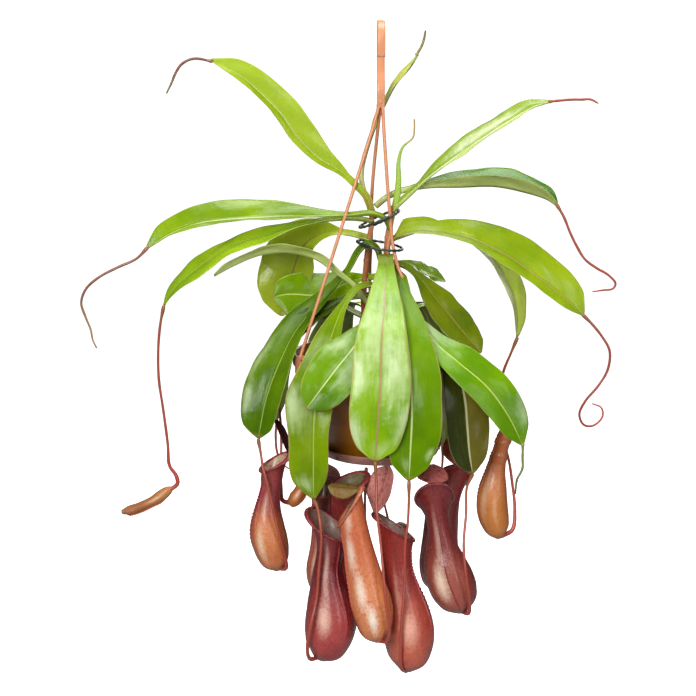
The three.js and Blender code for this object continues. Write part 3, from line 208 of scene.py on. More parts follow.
# axis: points up a pitcher's middle; belly, waist and mouth: radii; high: the side on which the mouth is
# higher, by slant; wing: height of its two fringed wings; collars: faint rings, as shares of its height
PITCHERS = [
    dict(name="pitcher_left", belly=14.4, waist=7.6, mouth=10.5, high=(1, 0.3, 0), slant=8,
         lid=dict(tip=(-84, -34, -306), face=(-0.9, 0.3, 0), width=16),
         axis=[(-80, -46, -426), (-85, -46, -413), (-89, -46, -393), (-88, -45, -369), (-85, -44, -353),
               (-83, -43, -339)],
         tendril=[(-96, -41.1, -320.4), (-96, -41.5, -321.4), (-94, -48, -330), (-92, -56, -339),
                  (-88, -60, -354), (-83, -62, -377), (-78, -62, -398), (-75, -56, -413), (-75, -50, -424),
                  (-80, -46, -425)]),
    dict(name="pitcher_young_left", belly=6, waist=5, mouth=4, high=(-1, 0, 1), slant=0, closed=True,
         amber=True,
         axis=[(-74, -26, -377), (-69, -26, -375), (-64, -26, -368), (-60, -25, -359), (-57, -24, -350)],
         tendril=[(-82, -9, -284.5), (-81, -12, -296), (-79, -17, -320), (-79, -22, -343),
                  (-79, -26, -365), (-78, -26, -375), (-73, -26, -377)]),
    dict(name="pitcher_middle_back", belly=12, waist=9.4, mouth=13, high=(1, 0.2, 0), slant=9,
         lid=dict(tip=(-9, -48, -362), face=(1, 0.2, 0.2), width=16),
         axis=[(-22, -44, -458), (-24, -46, -435), (-28, -50, -407), (-30, -54, -383), (-29, -58, -368),
               (-25, -60, -351)],
         tendril=[(-11, -26, -348), (-12, -30, -371), (-12, -28, -400), (-13, -28, -430), (-15, -34, -455),
                  (-21, -44, -457)]),
    dict(name="pitcher_front_left", belly=20, waist=10.4, mouth=14, high=(-1, 0.55, 0), slant=12,
         lid=dict(tip=(-49, -60, -349), face=(0, 0.5, 1), width=24),
         axis=[(-48, -82, -487), (-43, -82, -476), (-39, -82, -457), (-41, -81, -421), (-40, -80, -397),
               (-42, -79, -379)],
         tendril=[(-52, -84, -357.5), (-49, -90, -362), (-47, -96, -371), (-46, -98, -385),
                  (-48, -98, -410), (-50, -100, -433), (-54, -104, -450), (-57, -101, -470),
                  (-55, -91, -484), (-48, -82, -486)]),
    dict(name="pitcher_front", belly=16, waist=10.8, mouth=11.5, high=(1, 0, 0), slant=13,
         lid=dict(tip=(-41, -92, -344), face=(0, -0.35, 0.94), width=22), amber=True,
         axis=[(-1, -99, -466), (-4, -99, -457), (-7, -98, -440), (-13, -97, -414), (-18, -96, -390),
               (-24, -94, -360)],
         tendril=[(-5, -93.4, -324.5), (-4, -96, -343), (-4, -102, -358), (-1, -108, -383),
                  (1, -114, -404), (3, -118, -427), (6, -115, -449), (4, -106, -464), (-1, -99, -466)]),
    dict(name="pitcher_front_right", belly=20, waist=10.8, mouth=14, high=(-1, 0, 0), slant=12,
         lid=dict(tip=(6.5, -66.5, -335), face=(0.7, 0.7, 0), width=27),
         axis=[(20, -76, -499), (22, -76, -487), (22, -76, -466), (15, -75, -425), (12, -74, -401),
               (10, -73, -383)],
         tendril=[(21, -88, -341.4), (21, -90, -356), (20, -93, -375), (18, -95, -391), (18, -96, -419),
                  (16, -100, -446), (15, -99, -471), (16, -90, -492), (20, -78, -499)]),
    dict(name="pitcher_right", belly=19, waist=8.8, mouth=14.5, high=(0, -1, 0), slant=14,
         lid=dict(tip=(41, -58, -336), face=(0, -1, 0.3), width=26), lip=1.4,
         axis=[(65, -60, -456), (61, -60, -445), (52, -60, -420), (47, -60, -393), (44, -60, -377),
               (42, -59, -363)],
         tendril=[(72, -54, -345.4), (67, -62, -354), (66, -72, -372), (64, -80, -395), (66, -85, -420),
                  (69, -80, -440), (69, -68, -455), (65, -61, -456)]),
    dict(name="pitcher_right_back", belly=15, waist=7.5, mouth=11.5, high=(0, -1, 0), slant=12,
         lid=dict(tip=(60, -20, -322), face=(0.3, 1, 0), width=22),
         axis=[(49, -14, -455), (48, -14, -440), (50, -14, -418), (54, -14, -390), (57, -14, -376),
               (60, -14, -359)],
         tendril=[(66, 16, -352), (66, 12, -372), (64, 10, -398), (63, 10, -432), (58, 2, -456),
                  (50, -12, -456)]),
    dict(name="pitcher_far_right", belly=12.8, waist=6, mouth=6, high=(1, 0, 0), slant=2, closed=True,
         amber=True, collars=(0.71, 0.745, 0.86), wing=1.1,
         axis=[(97, -20, -408), (94, -20, -399), (90, -20, -382), (92, -20, -356), (96, -20, -337),
               (100, -20, -323), (103, -20, -316)],
         tendril=[(108, -20, -243.4), (103, -18, -257), (98, -14, -272), (95, -10, -294), (96, -9, -315),
                  (100, -9, -332), (104, -9, -347), (107, -10, -366), (109, -14, -386), (107, -18, -402),
                  (98, -20, -407)]),
    dict(name="pitcher_young_far_left", belly=4.4, waist=3.8, mouth=2.4, high=(0, 0, 1), slant=0,
         closed=True, amber=True,
         axis=[(-165, -34, -362), (-172, -34, -367), (-181, -34, -373), (-193, -34, -379),
               (-204, -34, -382)],
         tendril=[(-169, -34, -215.4), (-172, -34, -230), (-174, -34, -250), (-174, -34, -274),
                  (-171, -34, -299), (-168, -34, -327), (-167, -34, -344), (-162, -34, -352),
                  (-161, -34, -359), (-167, -34, -364)]),
    dict(name="pitcher_left_back", belly=10, waist=6.6, mouth=8.5, high=(0.3, 1, 0), slant=6,
         lid=dict(tip=(-42, -46, -339), face=(0, 1, 0.2), width=24), amber=True,
         axis=[(-44, -50, -450), (-46, -50, -442), (-49, -50, -427), (-47, -49, -401), (-47, -45, -381),
               (-46, -42, -362)],
         tendril=[(-56, -30, -352), (-53, -33, -380), (-52, -34, -410), (-50, -38, -438), (-47, -45, -452),
                  (-44, -50, -449)]),
    dict(name="pitcher_back_left", belly=17, waist=9.5, mouth=12, high=(0, -1, 0), slant=10,
         lid=dict(tip=(-40, 36, -368), face=(0, 1, 0.5), width=22),
         axis=[(-40, 62, -500), (-38, 62, -488), (-38, 60, -468), (-40, 58, -435), (-40, 57, -412),
               (-40, 57, -398)],
         tendril=[(-50, 102, -365.4), (-49, 100, -385), (-45, 92, -410), (-42, 86, -445), (-41, 84, -475),
                  (-41, 80, -494), (-40, 70, -503), (-40, 62, -499)]),
    dict(name="pitcher_back_right", belly=15, waist=8.5, mouth=11, high=(0, -1, 0), slant=9,
         lid=dict(tip=(48, 40, -364), face=(0, 1, 0.5), width=20),
         axis=[(50, 64, -482), (50, 64, -470), (50, 62, -452), (48, 60, -424), (48, 59, -404),
               (48, 59, -392)],
         tendril=[(56, 98, -362.4), (56, 98, -375), (54, 92, -400), (52, 86, -430), (52, 84, -460),
                  (52, 80, -477), (51, 72, -485), (50, 64, -481)]),
    dict(name="pitcher_young_back", belly=9.5, waist=6, mouth=5.4, high=(0, -1, 0), slant=1, closed=True,
         amber=True,
         axis=[(18, 86, -497), (18, 85, -487), (18, 83, -472), (19, 82, -449), (20, 82, -431)],
         tendril=[(-3, 112, -368.4), (-2, 114, -385), (4, 112, -410), (11, 108, -440), (15, 104, -470),
                  (17, 100, -488), (18, 94, -499), (18, 87, -497)]),
]

# angle: where a strand's clip sits on the rim, in degrees; route: points from the hook's foot to near the
# clip
STRANDS = [
    dict(name="strand_left", angle=205,
         route=[(-1.8, 0, -62.6), (-2.3, -0.2, -66)]),
    dict(name="strand_right", angle=290,
         route=[(1.6, -0.2, -60), (1.8, -1, -70), (5, -8, -120), (7, -10, -145), (9, -10, -167),
                (11.5, -11.5, -180), (14, -12.5, -189), (17, -15, -196), (19.5, -20, -203),
                (20, -27, -210), (19.5, -36, -218), (21, -52, -238)]),
    dict(name="strand_back", angle=95,
         route=[(-0.1, 2.8, -62.6), (-1, 3.2, -70), (-6, 8, -122), (-7, 12, -145), (-7, 13, -168),
                (-8, 22, -195)]),
]

# ---------------------------------------------------------------- curves and meshes


def unit(v):
    """The vectors in v scaled to length one."""
    return v / np.maximum(np.linalg.norm(v, axis=-1, keepdims=True), 1e-9)


def smoothstep(x, low, high):
    """0 below low, 1 above high, and a smooth rise between them."""
    t = np.clip((np.asarray(x, float) - low) / (high - low), 0, 1)
    return t * t * (3 - 2 * t)


def hermite(t, gap, start, end, start_slope, end_slope):
    """A cubic over a gap, from its values and slopes at both ends."""
    return ((2 * t**3 - 3 * t**2 + 1) * start + (t**3 - 2 * t**2 + t) * gap * start_slope
            + (3 * t**2 - 2 * t**3) * end + (t**3 - t**2) * gap * end_slope)


class Path:
    """A smooth curve through points, read by share of its length."""

    def __init__(self, points, steps=24):
        p = np.array(points, float)
        p = np.vstack([2 * p[0] - p[1], p, 2 * p[-1] - p[-2]])
        gaps = np.sqrt(np.linalg.norm(np.diff(p, axis=0), axis=1))
        t = np.linspace(0, 1, steps, endpoint=False)[:, None]
        found = []
        for i in range(len(p) - 3):
            g0, g1, g2 = gaps[i:i + 3]
            a, b, c, d = p[i:i + 4]
            m1 = (b - a) / g0 - (c - a) / (g0 + g1) + (c - b) / g1
            m2 = (c - b) / g1 - (d - b) / (g1 + g2) + (d - c) / g2
            found.append(hermite(t, g1, b, c, m1, m2))
        self.points = np.vstack([*found, p[-2:-1]])
        run = np.linalg.norm(np.diff(self.points, axis=0), axis=1)
        self.reach = np.concatenate([[0], np.cumsum(run)])
        self.length = self.reach[-1]

    def at(self, share):
        s = np.asarray(share, float) * self.length
        return np.stack([np.interp(s, self.reach, self.points[:, k]) for k in range(3)], -1)

    def along(self, share):
        s = np.asarray(share, float)
        step = 0.004
        return unit(self.at(np.minimum(s + step, 1)) - self.at(np.maximum(s - step, 0)))

    def frames(self, shares, start=None):
        """Points, directions, and normals that turn as little as they can from start."""
        points = self.at(shares)
        along = self.along(shares)
        if start is None:
            steep = abs(along[0][2]) > 0.8
            start = (1, 0, 0) if steep else (0, 0, 1)
        normal = np.array(start, float)
        normals = []
        for t in along:
            normal = normal - t * normal.dot(t)
            normal = normal / np.linalg.norm(normal)
            normals.append(normal)
        return points, along, np.array(normals)


def grid_faces(rows, columns):
    """Quads over a grid of points whose columns close into rings, facing out as rows go along the axis."""
    i, j = np.meshgrid(np.arange(rows - 1), np.arange(columns), indexing="ij")
    k = (j + 1) % columns
    quads = np.stack([i * columns + j, i * columns + k, (i + 1) * columns + k, (i + 1) * columns + j], -1)
    return quads.reshape(-1, 4).tolist()


class Shape:
    """Points, faces, material numbers and two values per point, gathered into one mesh."""

    def __init__(self):
        self.points = []
        self.faces = []
        self.kinds = []
        self.marks = []
        self.count = 0

    def add(self, points, faces, kind=0, marks=None):
        """kind is a material number, or one per face; marks are the (across, along) values per point."""
        points = np.asarray(points, float).reshape(-1, 3)
        marks = np.zeros((len(points), 2)) if marks is None else np.asarray(marks, float).reshape(-1, 2)
        self.points.append(points)
        self.marks.append(marks)
        self.faces.extend([[int(v) + self.count for v in face] for face in faces])
        self.kinds.extend([kind] * len(faces) if np.isscalar(kind) else list(kind))
        self.count += len(points)

    def build(self, name, materials, smooth=True, flat_angle=None):
        """The mesh object. Edges sharper than flat_angle, in degrees, stay crisp."""
        mesh = bpy.data.meshes.new(name)
        mesh.from_pydata((np.vstack(self.points) * MM).tolist(), [], self.faces)
        for material in materials:
            mesh.materials.append(material)
        mesh.polygons.foreach_set("material_index", self.kinds)
        mesh.polygons.foreach_set("use_smooth", [smooth] * len(self.faces))
        corners = np.empty(len(mesh.loops), np.int32)
        mesh.loops.foreach_get("vertex_index", corners)
        layer = mesh.uv_layers.new(name="marks")
        layer.data.foreach_set("uv", np.vstack(self.marks)[corners].astype(np.float32).ravel())
        mesh.update()
        obj = bpy.data.objects.new(name, mesh)
        bpy.context.scene.collection.objects.link(obj)
        if flat_angle is not None:
            mesh.set_sharp_from_angle(angle=math.radians(flat_angle))
        return obj


def place(obj, slot, *nodes):
    """Ties a finished piece to the frame: it rides the root body and stands for these nodes."""
    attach(obj, "root")
    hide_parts(*nodes)


def wander(seed, count, rough):
    """A smooth random wave over count points, with values of about -1 to 1."""
    draw = np.random.default_rng(seed)
    x = np.linspace(0, 1, count)
    total = np.zeros(count)
    for k in range(1, 5):
        total += np.sin(2 * np.pi * (x * k * rough / 2 + draw.random())) * draw.normal() / k
    return total / 2


def add_tube(shape, path, radius, sides=12, rings=80, kind=0, start=None, round_end=True, profile=None):
    """A closed tube along path. radius is a function of share in mm; profile may reshape the ring."""
    shares = np.linspace(0, 1, rings)
    points, along, normals = path.frames(shares, start)
    side = np.cross(along, normals)
    radii = np.array([radius(s) for s in shares], float)
    turn = np.linspace(0, 2 * np.pi, sides, endpoint=False)
    ring = np.cos(turn)[None, :, None] * normals[:, None] + np.sin(turn)[None, :, None] * side[:, None]
    outline = np.ones((rings, sides)) if profile is None else profile(shares[:, None], turn[None])
    scale = radii[:, None] * outline
    cloud = points[:, None] + ring * scale[..., None]
    marks = np.stack(np.broadcast_arrays(turn[None] / (2 * np.pi), shares[:, None]), -1)
    reach = 0.9 if round_end else 0.1
    tips = [points[0] - along[0] * radii[0] * 0.4, points[-1] + along[-1] * radii[-1] * reach]
    cloud = np.vstack([cloud.reshape(-1, 3), tips])
    marks = np.vstack([marks.reshape(-1, 2), [[0, 0], [0, 1]]])
    faces = grid_faces(rings, sides)
    last = (rings - 1) * sides
    low = rings * sides
    faces += [[low, (j + 1) % sides, j] for j in range(sides)]
    faces += [[low + 1, last + j, last + (j + 1) % sides] for j in range(sides)]
    shape.add(cloud, faces, kind, marks)


def lathe(shape, profile, sides=96, kind=0):
    """A ring-shaped or capped solid from (radius, z) pairs in mm, listed so that it turns outward."""
    profile = np.array(profile, float)
    turn = np.linspace(0, 2 * np.pi, sides, endpoint=False)
    radius = profile[:, 0][:, None]
    height = profile[:, 1][:, None] * np.ones(sides)[None]
    cloud = np.stack([radius * np.cos(turn), radius * np.sin(turn), height], -1)
    shares = np.linspace(0, 1, len(profile))[:, None]
    marks = np.stack(np.broadcast_arrays(turn[None] / (2 * np.pi), shares), -1)
    shape.add(cloud, grid_faces(len(profile), sides), kind, marks)


BOX_FACES = [(0, 2, 3, 1), (4, 5, 7, 6), (0, 1, 5, 4), (2, 6, 7, 3), (0, 4, 6, 2), (1, 3, 7, 5)]


def box_corners(xs, ys, zs):
    return np.array([(x, y, z) for z in zs for y in ys for x in xs], float)


def turned(points, turn):
    """Points turned about the vertical axis through the origin."""
    c, s = math.cos(turn), math.sin(turn)
    x, y, z = np.asarray(points, float).T
    return np.stack([x * c - y * s, x * s + y * c, z], -1)


def add_box(shape, xs, ys, zs, turn=0.0, kind=0):
    """A box turned about the vertical axis through the origin."""
    shape.add(turned(box_corners(xs, ys, zs), turn), BOX_FACES, kind)


# ---------------------------------------------------------------- materials


def linear(colour):
    """A '#rrggbb' colour as the linear values that a shader takes."""
    parts = [int(colour[i:i + 2], 16) / 255 for i in (1, 3, 5)]
    return [p / 12.92 if p <= 0.04045 else ((p + 0.055) / 1.055) ** 2.4 for p in parts] + [1.0]


class Value:
    """A number on its way through a shader tree, which can be written in a plain sum."""

    def __init__(self, nodes, socket):
        self.nodes = nodes
        self.socket = socket

    def __add__(self, other):
        return self.nodes.math("ADD", self, other)

    def __sub__(self, other):
        return self.nodes.math("SUBTRACT", self, other)

    def __mul__(self, other):
        return self.nodes.math("MULTIPLY", self, other)

    def __truediv__(self, other):
        return self.nodes.math("DIVIDE", self, other)

    def __abs__(self):
        return self.nodes.math("ABSOLUTE", self)


class Nodes:
    """A small hand for writing shader trees: each method adds a node and returns what comes out of it."""

    def __init__(self, name):
        self.material = bpy.data.materials.new(name)
        self.material.use_nodes = True
        self.tree = self.material.node_tree
        self.shader = self.tree.nodes["Principled BSDF"]

    def new(self, kind, inputs=None, **settings):
        node = self.tree.nodes.new(kind)
        for key, value in settings.items():
            setattr(node, key, value)
        for key, value in (inputs or {}).items():
            self.feed(node.inputs[key], value)
        return node

    def feed(self, socket, value):
        """Links a value to a socket, or sets the socket to a number or a '#rrggbb' colour."""
        if isinstance(value, Value):
            value = value.socket
        if isinstance(value, bpy.types.NodeSocket):
            self.tree.links.new(value, socket)
        elif isinstance(value, str):
            socket.default_value = linear(value)
        else:
            socket.default_value = value

    def set(self, **values):
        """Sets inputs of the surface shader by name."""
        for key, value in values.items():
            self.feed(self.shader.inputs[key.replace("_", " ")], value)

    def math(self, operation, a, b=0.0):
        return Value(self, self.new("ShaderNodeMath", {0: a, 1: b}, operation=operation).outputs[0])

    def band(self, value, low, high, start=0.0, end=1.0):
        """value mapped smoothly from low..high to start..end."""
        inputs = {0: value, 1: low, 2: high, 3: start, 4: end}
        return Value(self, self.new("ShaderNodeMapRange", inputs, interpolation_type="SMOOTHSTEP").outputs[0])

    def mix(self, share, a, b):
        node = self.new("ShaderNodeMix", data_type="RGBA")
        for index, value in ((0, share), (6, a), (7, b)):
            self.feed(node.inputs[index], value)
        return node.outputs[2]

    def marks(self):
        """The (across, along) values of the surface."""
        read = self.new("ShaderNodeUVMap", uv_map="marks")
        split = self.new("ShaderNodeSeparateXYZ", {0: read.outputs[0]})
        return Value(self, split.outputs[0]), Value(self, split.outputs[1])

    def stretched(self, across, along, third=0.0):
        """A vector made of the marks, for noise that runs with the surface."""
        return self.new("ShaderNodeCombineXYZ", {0: across, 1: along, 2: third}).outputs[0]

    def noise(self, scale, detail=3.0, roughness=0.55, vector=None):
        node = self.new("ShaderNodeTexNoise", {"Scale": scale, "Detail": detail, "Roughness": roughness})
        if vector is None:
            vector = self.new("ShaderNodeTexCoord").outputs["Object"]
        self.feed(node.inputs["Vector"], vector)
        return Value(self, node.outputs[0])

    def oval(self, down, out, long, wide):
        """How far a point is from an oval's middle, in shares of the oval's half length and half breadth."""
        down = down / long
        out = out / wide
        return self.math("SQRT", down * down + out * out)

    def bump(self, height, strength, distance):
        """A normal for a height; distance is in metres."""
        values = {"Strength": strength, "Distance": distance, "Height": height}
        return self.new("ShaderNodeBump", values).outputs[0]


def leaf_material(name, look, face, gloss):
    """One face of a leaf blade: midrib, margins, faint lengthwise veins, patches of painted sheen and shade,
    and a far half painted lighter or darker for the light it catches.
    """
    n = Nodes(name)
    across, along = n.marks()
    off = abs(across * 2.0 - 1.0)
    base, second = (look["top"], look["shade"]) if face == "top" else (look["under"], look["under_shade"])
    colour = n.mix(n.band(n.noise(24.0, 2.0), 0.4, 0.64), base, second)
    # split paints the far half another colour: painted light where that half catches the light, painted shade
    # where it lies in shade
    if "split" in look:
        colour = n.mix(n.band(across, 0.485, 0.515, 0.0, 0.85), colour, look["split"])
    streak = n.noise(1.0, 3.0, 0.6, n.stretched(across * 46.0, along * 4.0))
    colour = n.mix(n.band(streak, 0.48, 0.74, 0.0, 0.16), colour, look["streak"])
    colour = n.mix(n.band(n.noise(170.0, 3.0), 0.56, 0.74, 0.0, 0.14), colour, look["shade"])
    flushed, (begin, end), share = look["blush"]
    colour = n.mix(n.band(along, begin, end, 0.0, share), colour, flushed)
    # patches paint sheen on the upper face where the blade catches the light, and painted shade where a patch
    # is darker
    if face == "top":
        for patch in look["painted_light_patches"]:
            colour = add_painted_light_patch(n, colour, across, along, *patch)
    wide = look["rib_width"]
    colour = n.mix(n.band(off, wide * 3.2, wide * 1.2, 0.0, 0.35), colour, look["shade"])
    colour = n.mix(n.band(off, wide * 1.3, wide * 0.6, 0.0, look["rib"][1]), colour, look["rib"][0])
    colour = n.mix(n.band(off, 0.95, 0.985, 0.0, look["margin"][1]), colour, look["margin"][0])
    colour = n.mix(n.band(along, 0.975, 1.0, 0.0, 0.7), colour, look["tip"])
    height = streak * 0.5 + n.noise(240.0, 3.0) + n.noise(55.0, 2.0) * 2.2
    low, high = (gloss - 0.06, gloss + 0.1) if face == "top" else (gloss + 0.08, gloss + 0.22)
    n.set(Base_Color=colour, Roughness=n.band(n.noise(60.0, 3.0), 0.3, 0.7, low, high))
    n.set(Normal=n.bump(height, 0.45, 0.0006))
    n.set(Specular_IOR_Level=look["shine"], Coat_Weight=look["coat"], Coat_Roughness=0.1)
    n.set(Subsurface_Weight=0.06, Subsurface_Radius=(0.002, 0.003, 0.001), Subsurface_Scale=0.4)
    return n.material


def add_painted_light_patch(n, colour, across, along, tint, along_at, across_at, long, wide, share):
    """A ragged patch painted on a blade: painted sheen where it is pale, painted shade where it is darker;
    places and sizes are shares of its length and breadth.
    """
    far = n.oval(along - along_at, across - across_at, long, wide)
    lengthwise = n.noise(1.0, 3.0, 0.6, n.stretched(across * 8.0, along * 7.0, 3.0))
    far = far + (lengthwise * 2.0 + n.noise(150.0, 3.0) * 0.9)
    return n.mix(n.band(far, 2.75, 1.35, 0.0, share), colour, tint)


def tendril_material(name, near, middle, end):
    """A stalk whose colour changes along its length."""
    n = Nodes(name)
    along = n.marks()[1]
    colour = n.mix(n.band(along, 0.0, 0.16), near, middle)
    colour = n.mix(n.band(along, 0.5, 1.0), colour, end)
    colour = n.mix(n.band(n.noise(900.0, 2.0), 0.52, 0.78, 0.0, 0.4), colour, "#4A1A14")
    n.set(Base_Color=colour, Roughness=0.35, Normal=n.bump(n.noise(700.0, 2.0), 0.3, 0.0003))
    n.set(Coat_Weight=0.25, Coat_Roughness=0.2)
    return n.material


def cup_skin(n, look, front):
    """The outside of a cup: painted light on the side that faces the light, grain, painted highlights, wings
    and painted shade along its outline. Returns its colour and roughness.
    """
    across, along = n.marks()
    begin, end = look["change"]
    colour = n.mix(n.band(along, begin, end), look["low"], look["high"])
    # flush paints the side that faces the light lighter, most on the belly: painted light
    side = n.math("COSINE", (across - (front + look["lit"])) * (2 * math.pi))
    belly = n.band(side, 0.1, 0.98) * n.band(along, 0.72, 0.4, 0.2, 1.0)
    colour = n.mix(belly * look["painted_lit_side"][1], colour, look["painted_lit_side"][0])
    grain = n.noise(1.0, 4.0, 0.65, n.stretched(across * 60.0, along * 34.0))
    colour = n.mix(n.band(grain, 0.5, 0.66, 0.0, look["mottle"][1]), colour, look["mottle"][0])
    specks = n.band(n.noise(900.0, 3.0, 0.7), 0.5, 0.68, 0.0, look["speck"][1])
    colour = n.mix(specks, colour, look["speck"][0])
    colour = n.mix(n.band(n.noise(60.0, 2.0), 0.5, 0.7, 0.0, 0.3), colour, look["high"])
    # glints paint pale highlights at fixed places round the side that faces the light: painted highlights
    for along_at, off_front, long, wide, share in look["glints"]:
        around = n.math("FRACT", across - (front + off_front - 0.5)) - 0.5
        far = n.oval(along - along_at, around, long, wide) + grain * 1.1
        colour = n.mix(n.band(far, 1.75, 0.55, 0.0, share), colour, look["glint"])
    colour = n.mix(n.band(along, 0.05, 0.0, 0.0, 0.6), colour, look["vein"])
    for wing in (0.5 + WING["turn"] / (2 * math.pi), 0.5 - WING["turn"] / (2 * math.pi)):
        colour = n.mix(n.band(abs(across - wing), 0.012, 0.004, 0.0, 0.7), colour, look["vein"])
    # rim paints the outside darker where it turns edge-on to the view: painted shade along the outline, not
    # the mouth's rim
    facing = n.new("ShaderNodeLayerWeight", {"Blend": 0.5}).outputs["Facing"]
    colour = n.mix(n.band(facing, 0.45, 0.98, 0.0, look["rim"][1]), colour, look["rim"][0])
    n.set(Normal=n.bump(grain * 1.2 + n.noise(75.0, 2.0) * 2.0 + n.noise(500.0, 2.0) * 0.5, 0.5, 0.0007))
    return colour, n.band(n.noise(90.0), 0.3, 0.7, look["gloss"] - 0.05, look["gloss"] + 0.08)


def cup_lip(n, look):
    """The ribbed lip. Returns its colour and roughness."""
    ribs = n.math("SINE", n.marks()[0] * (2 * math.pi * look["ribs"]))
    n.set(Normal=n.bump(ribs, 0.5, 0.0003))
    return n.mix(n.band(ribs, -0.4, 0.8), look["lip"], look["lip_light"]), 0.16


def cup_inside(n, look):
    """The flecked inner wall. Returns its colour and roughness."""
    return n.mix(n.band(n.noise(330.0, 3.0), 0.5, 0.64, 0.0, 0.5), look["inside"], look["inside_fleck"]), 0.4


def cup_lid(n, look):
    """The flecked lid with its darker midrib and margin. Returns its colour and roughness."""
    colour = n.mix(n.band(n.noise(380.0, 3.0, 0.65), 0.5, 0.66, 0.0, 0.75), look["lid"], look["lid_fleck"])
    off = abs(n.marks()[0] * 2.0 - 1.0)
    colour = n.mix(n.band(off, 0.12, 0.04, 0.0, 0.5), colour, look["lid_edge"])
    colour = n.mix(n.band(off, 0.86, 0.97, 0.0, 0.8), colour, look["lid_edge"])
    n.set(Normal=n.bump(n.noise(120.0, 2.0), 0.4, 0.0006))
    return colour, 0.32


def pitcher_material(name, look, paint, *more, dull=1.0):
    """A pitcher's surface, painted by one of the functions above."""
    n = Nodes(name)
    colour, roughness = paint(n, look, *more)
    n.set(Base_Color=colour, Roughness=roughness, Specular_IOR_Level=0.5 * dull)
    n.set(Coat_Weight=look["coat"] * dull, Coat_Roughness=0.16)
    n.set(Subsurface_Weight=0.08, Subsurface_Radius=(0.003, 0.001, 0.001), Subsurface_Scale=0.4)
    return n.material


def plain_material(name, colour, second, roughness, scale=60.0, depth=0.0002, coat=0.0):
    """Moulded plastic, wire or bark: one colour that drifts to a second, with a fine surface."""
    n = Nodes(name)
    drift = n.band(n.noise(scale, 4.0), 0.35, 0.7)
    n.set(Base_Color=n.mix(drift, colour, second), Roughness=roughness, Coat_Weight=coat)
    n.set(Normal=n.bump(n.noise(scale * 8, 3.0), 0.35, depth))
    return n.material


# ---------------------------------------------------------------- plant parts


def breadth_at(share, petiole, peak):
    """Share of the full half breadth that a strap-shaped leaf has along its length."""
    rise = np.clip((share - petiole) / (peak - petiole), 0, 1)
    fall = np.clip((share - peak) / (1 - peak), 0, 1)
    round_end = np.sqrt(np.maximum(0, 1 - fall**2.3)) * (1 - BLADE["tip_taper"] * smoothstep(fall, 0.78, 1))
    return np.where(share < peak, np.sin(rise * np.pi / 2) ** 1.25, round_end)


class Blade:
    """The surface of one leaf blade or lid: its midrib, the way it faces and how broad it is at each row."""

    def __init__(self, leaf, seed, rows):
        self.leaf = leaf
        self.seed = seed
        self.rows = rows
        path = Path(leaf["spine"])
        s = np.linspace(0, 1, rows)
        s = s + BLADE["crowding"] * np.sin(np.pi * s) * s
        self.s = s = s / s[-1]
        self.petiole = leaf.get("petiole", 0.2)
        self.peak = leaf.get("peak", 0.62)
        self.at = path.at(s)
        along = path.along(s)
        faces = np.array(leaf["faces"], float)
        spot = s * (len(faces) - 1)
        normal = np.stack([np.interp(spot, np.arange(len(faces)), faces[:, k]) for k in range(3)], -1)
        self.normal = unit(normal - along * np.sum(normal * along, -1, keepdims=True))
        self.side = np.cross(along, self.normal)
        depth, dip, period = leaf.get("scallop", (0, 0, 1))
        clasp = leaf.get("base", 0) * smoothstep(s, 0.02, 0.08) * (1 - smoothstep(s, 0.14, 0.34))
        dent = 1 - depth * np.cos((s - dip) / period * 2 * np.pi)
        self.breadth = np.maximum(clasp, breadth_at(s, self.petiole, self.peak) * dent)

    def half_breadth(self, k):
        """The breadth in mm of one half, row by row."""
        full = self.leaf["halves"][k]
        start = self.leaf.get("petiole_half", BLADE["petiole_half"])
        stalk = start + (full - start) * self.breadth
        breadth = np.where(self.s < self.peak, stalk, np.maximum(BLADE["tip_half"], full * self.breadth))
        uneven = BLADE["wander"] * self.leaf.get("calm", 1) * wander(self.seed * 7 + k, self.rows, 4.0)
        return breadth * (1 + uneven * self.breadth)

    def half(self, k, sign, columns):
        """Points and upward normals of one half, from the midrib out to the margin."""
        s, breadth, seed = self.s, self.breadth, self.seed
        wave = self.leaf.get("wave", 0.8)
        pucker_height = self.leaf.get("pucker", 0.5)
        lift = math.radians(self.leaf.get("fold", (15, 15))[k])
        full = self.half_breadth(k)
        position = self.at.copy()
        found = [self.at.copy()]
        ups = [self.normal.copy()]
        for inner, outer in zip(columns[:-1], columns[1:]):
            u = (inner + outer) / 2
            angle = lift - math.radians(BLADE["curl"]) * breadth * np.clip(u * 2 - 0.5, 0, 1)
            out = self.side * (sign * np.cos(angle))[:, None] + self.normal * np.sin(angle)[:, None]
            up = self.normal * np.cos(angle)[:, None] - self.side * (sign * np.sin(angle))[:, None]
            position = position + out * ((outer - inner) * full)[:, None]
            ripple = np.sin(s * 21 + k * 2 + self.leaf["halves"][0]) * outer ** 2.2
            ripple = wave * breadth * (ripple + 0.22 * np.sin(s * 57 + seed + k) * outer ** 4)
            pucker = np.sin(s * 17 + seed * 2.3 + sign * outer * 2.2) + 0.6 * np.sin(s * 31 - seed + u * 4)
            ripple = ripple + pucker_height * breadth * pucker * math.sin(math.pi * outer) ** 0.7
            found.append(position + up * ripple[:, None])
            ups.append(up)
        return found, ups


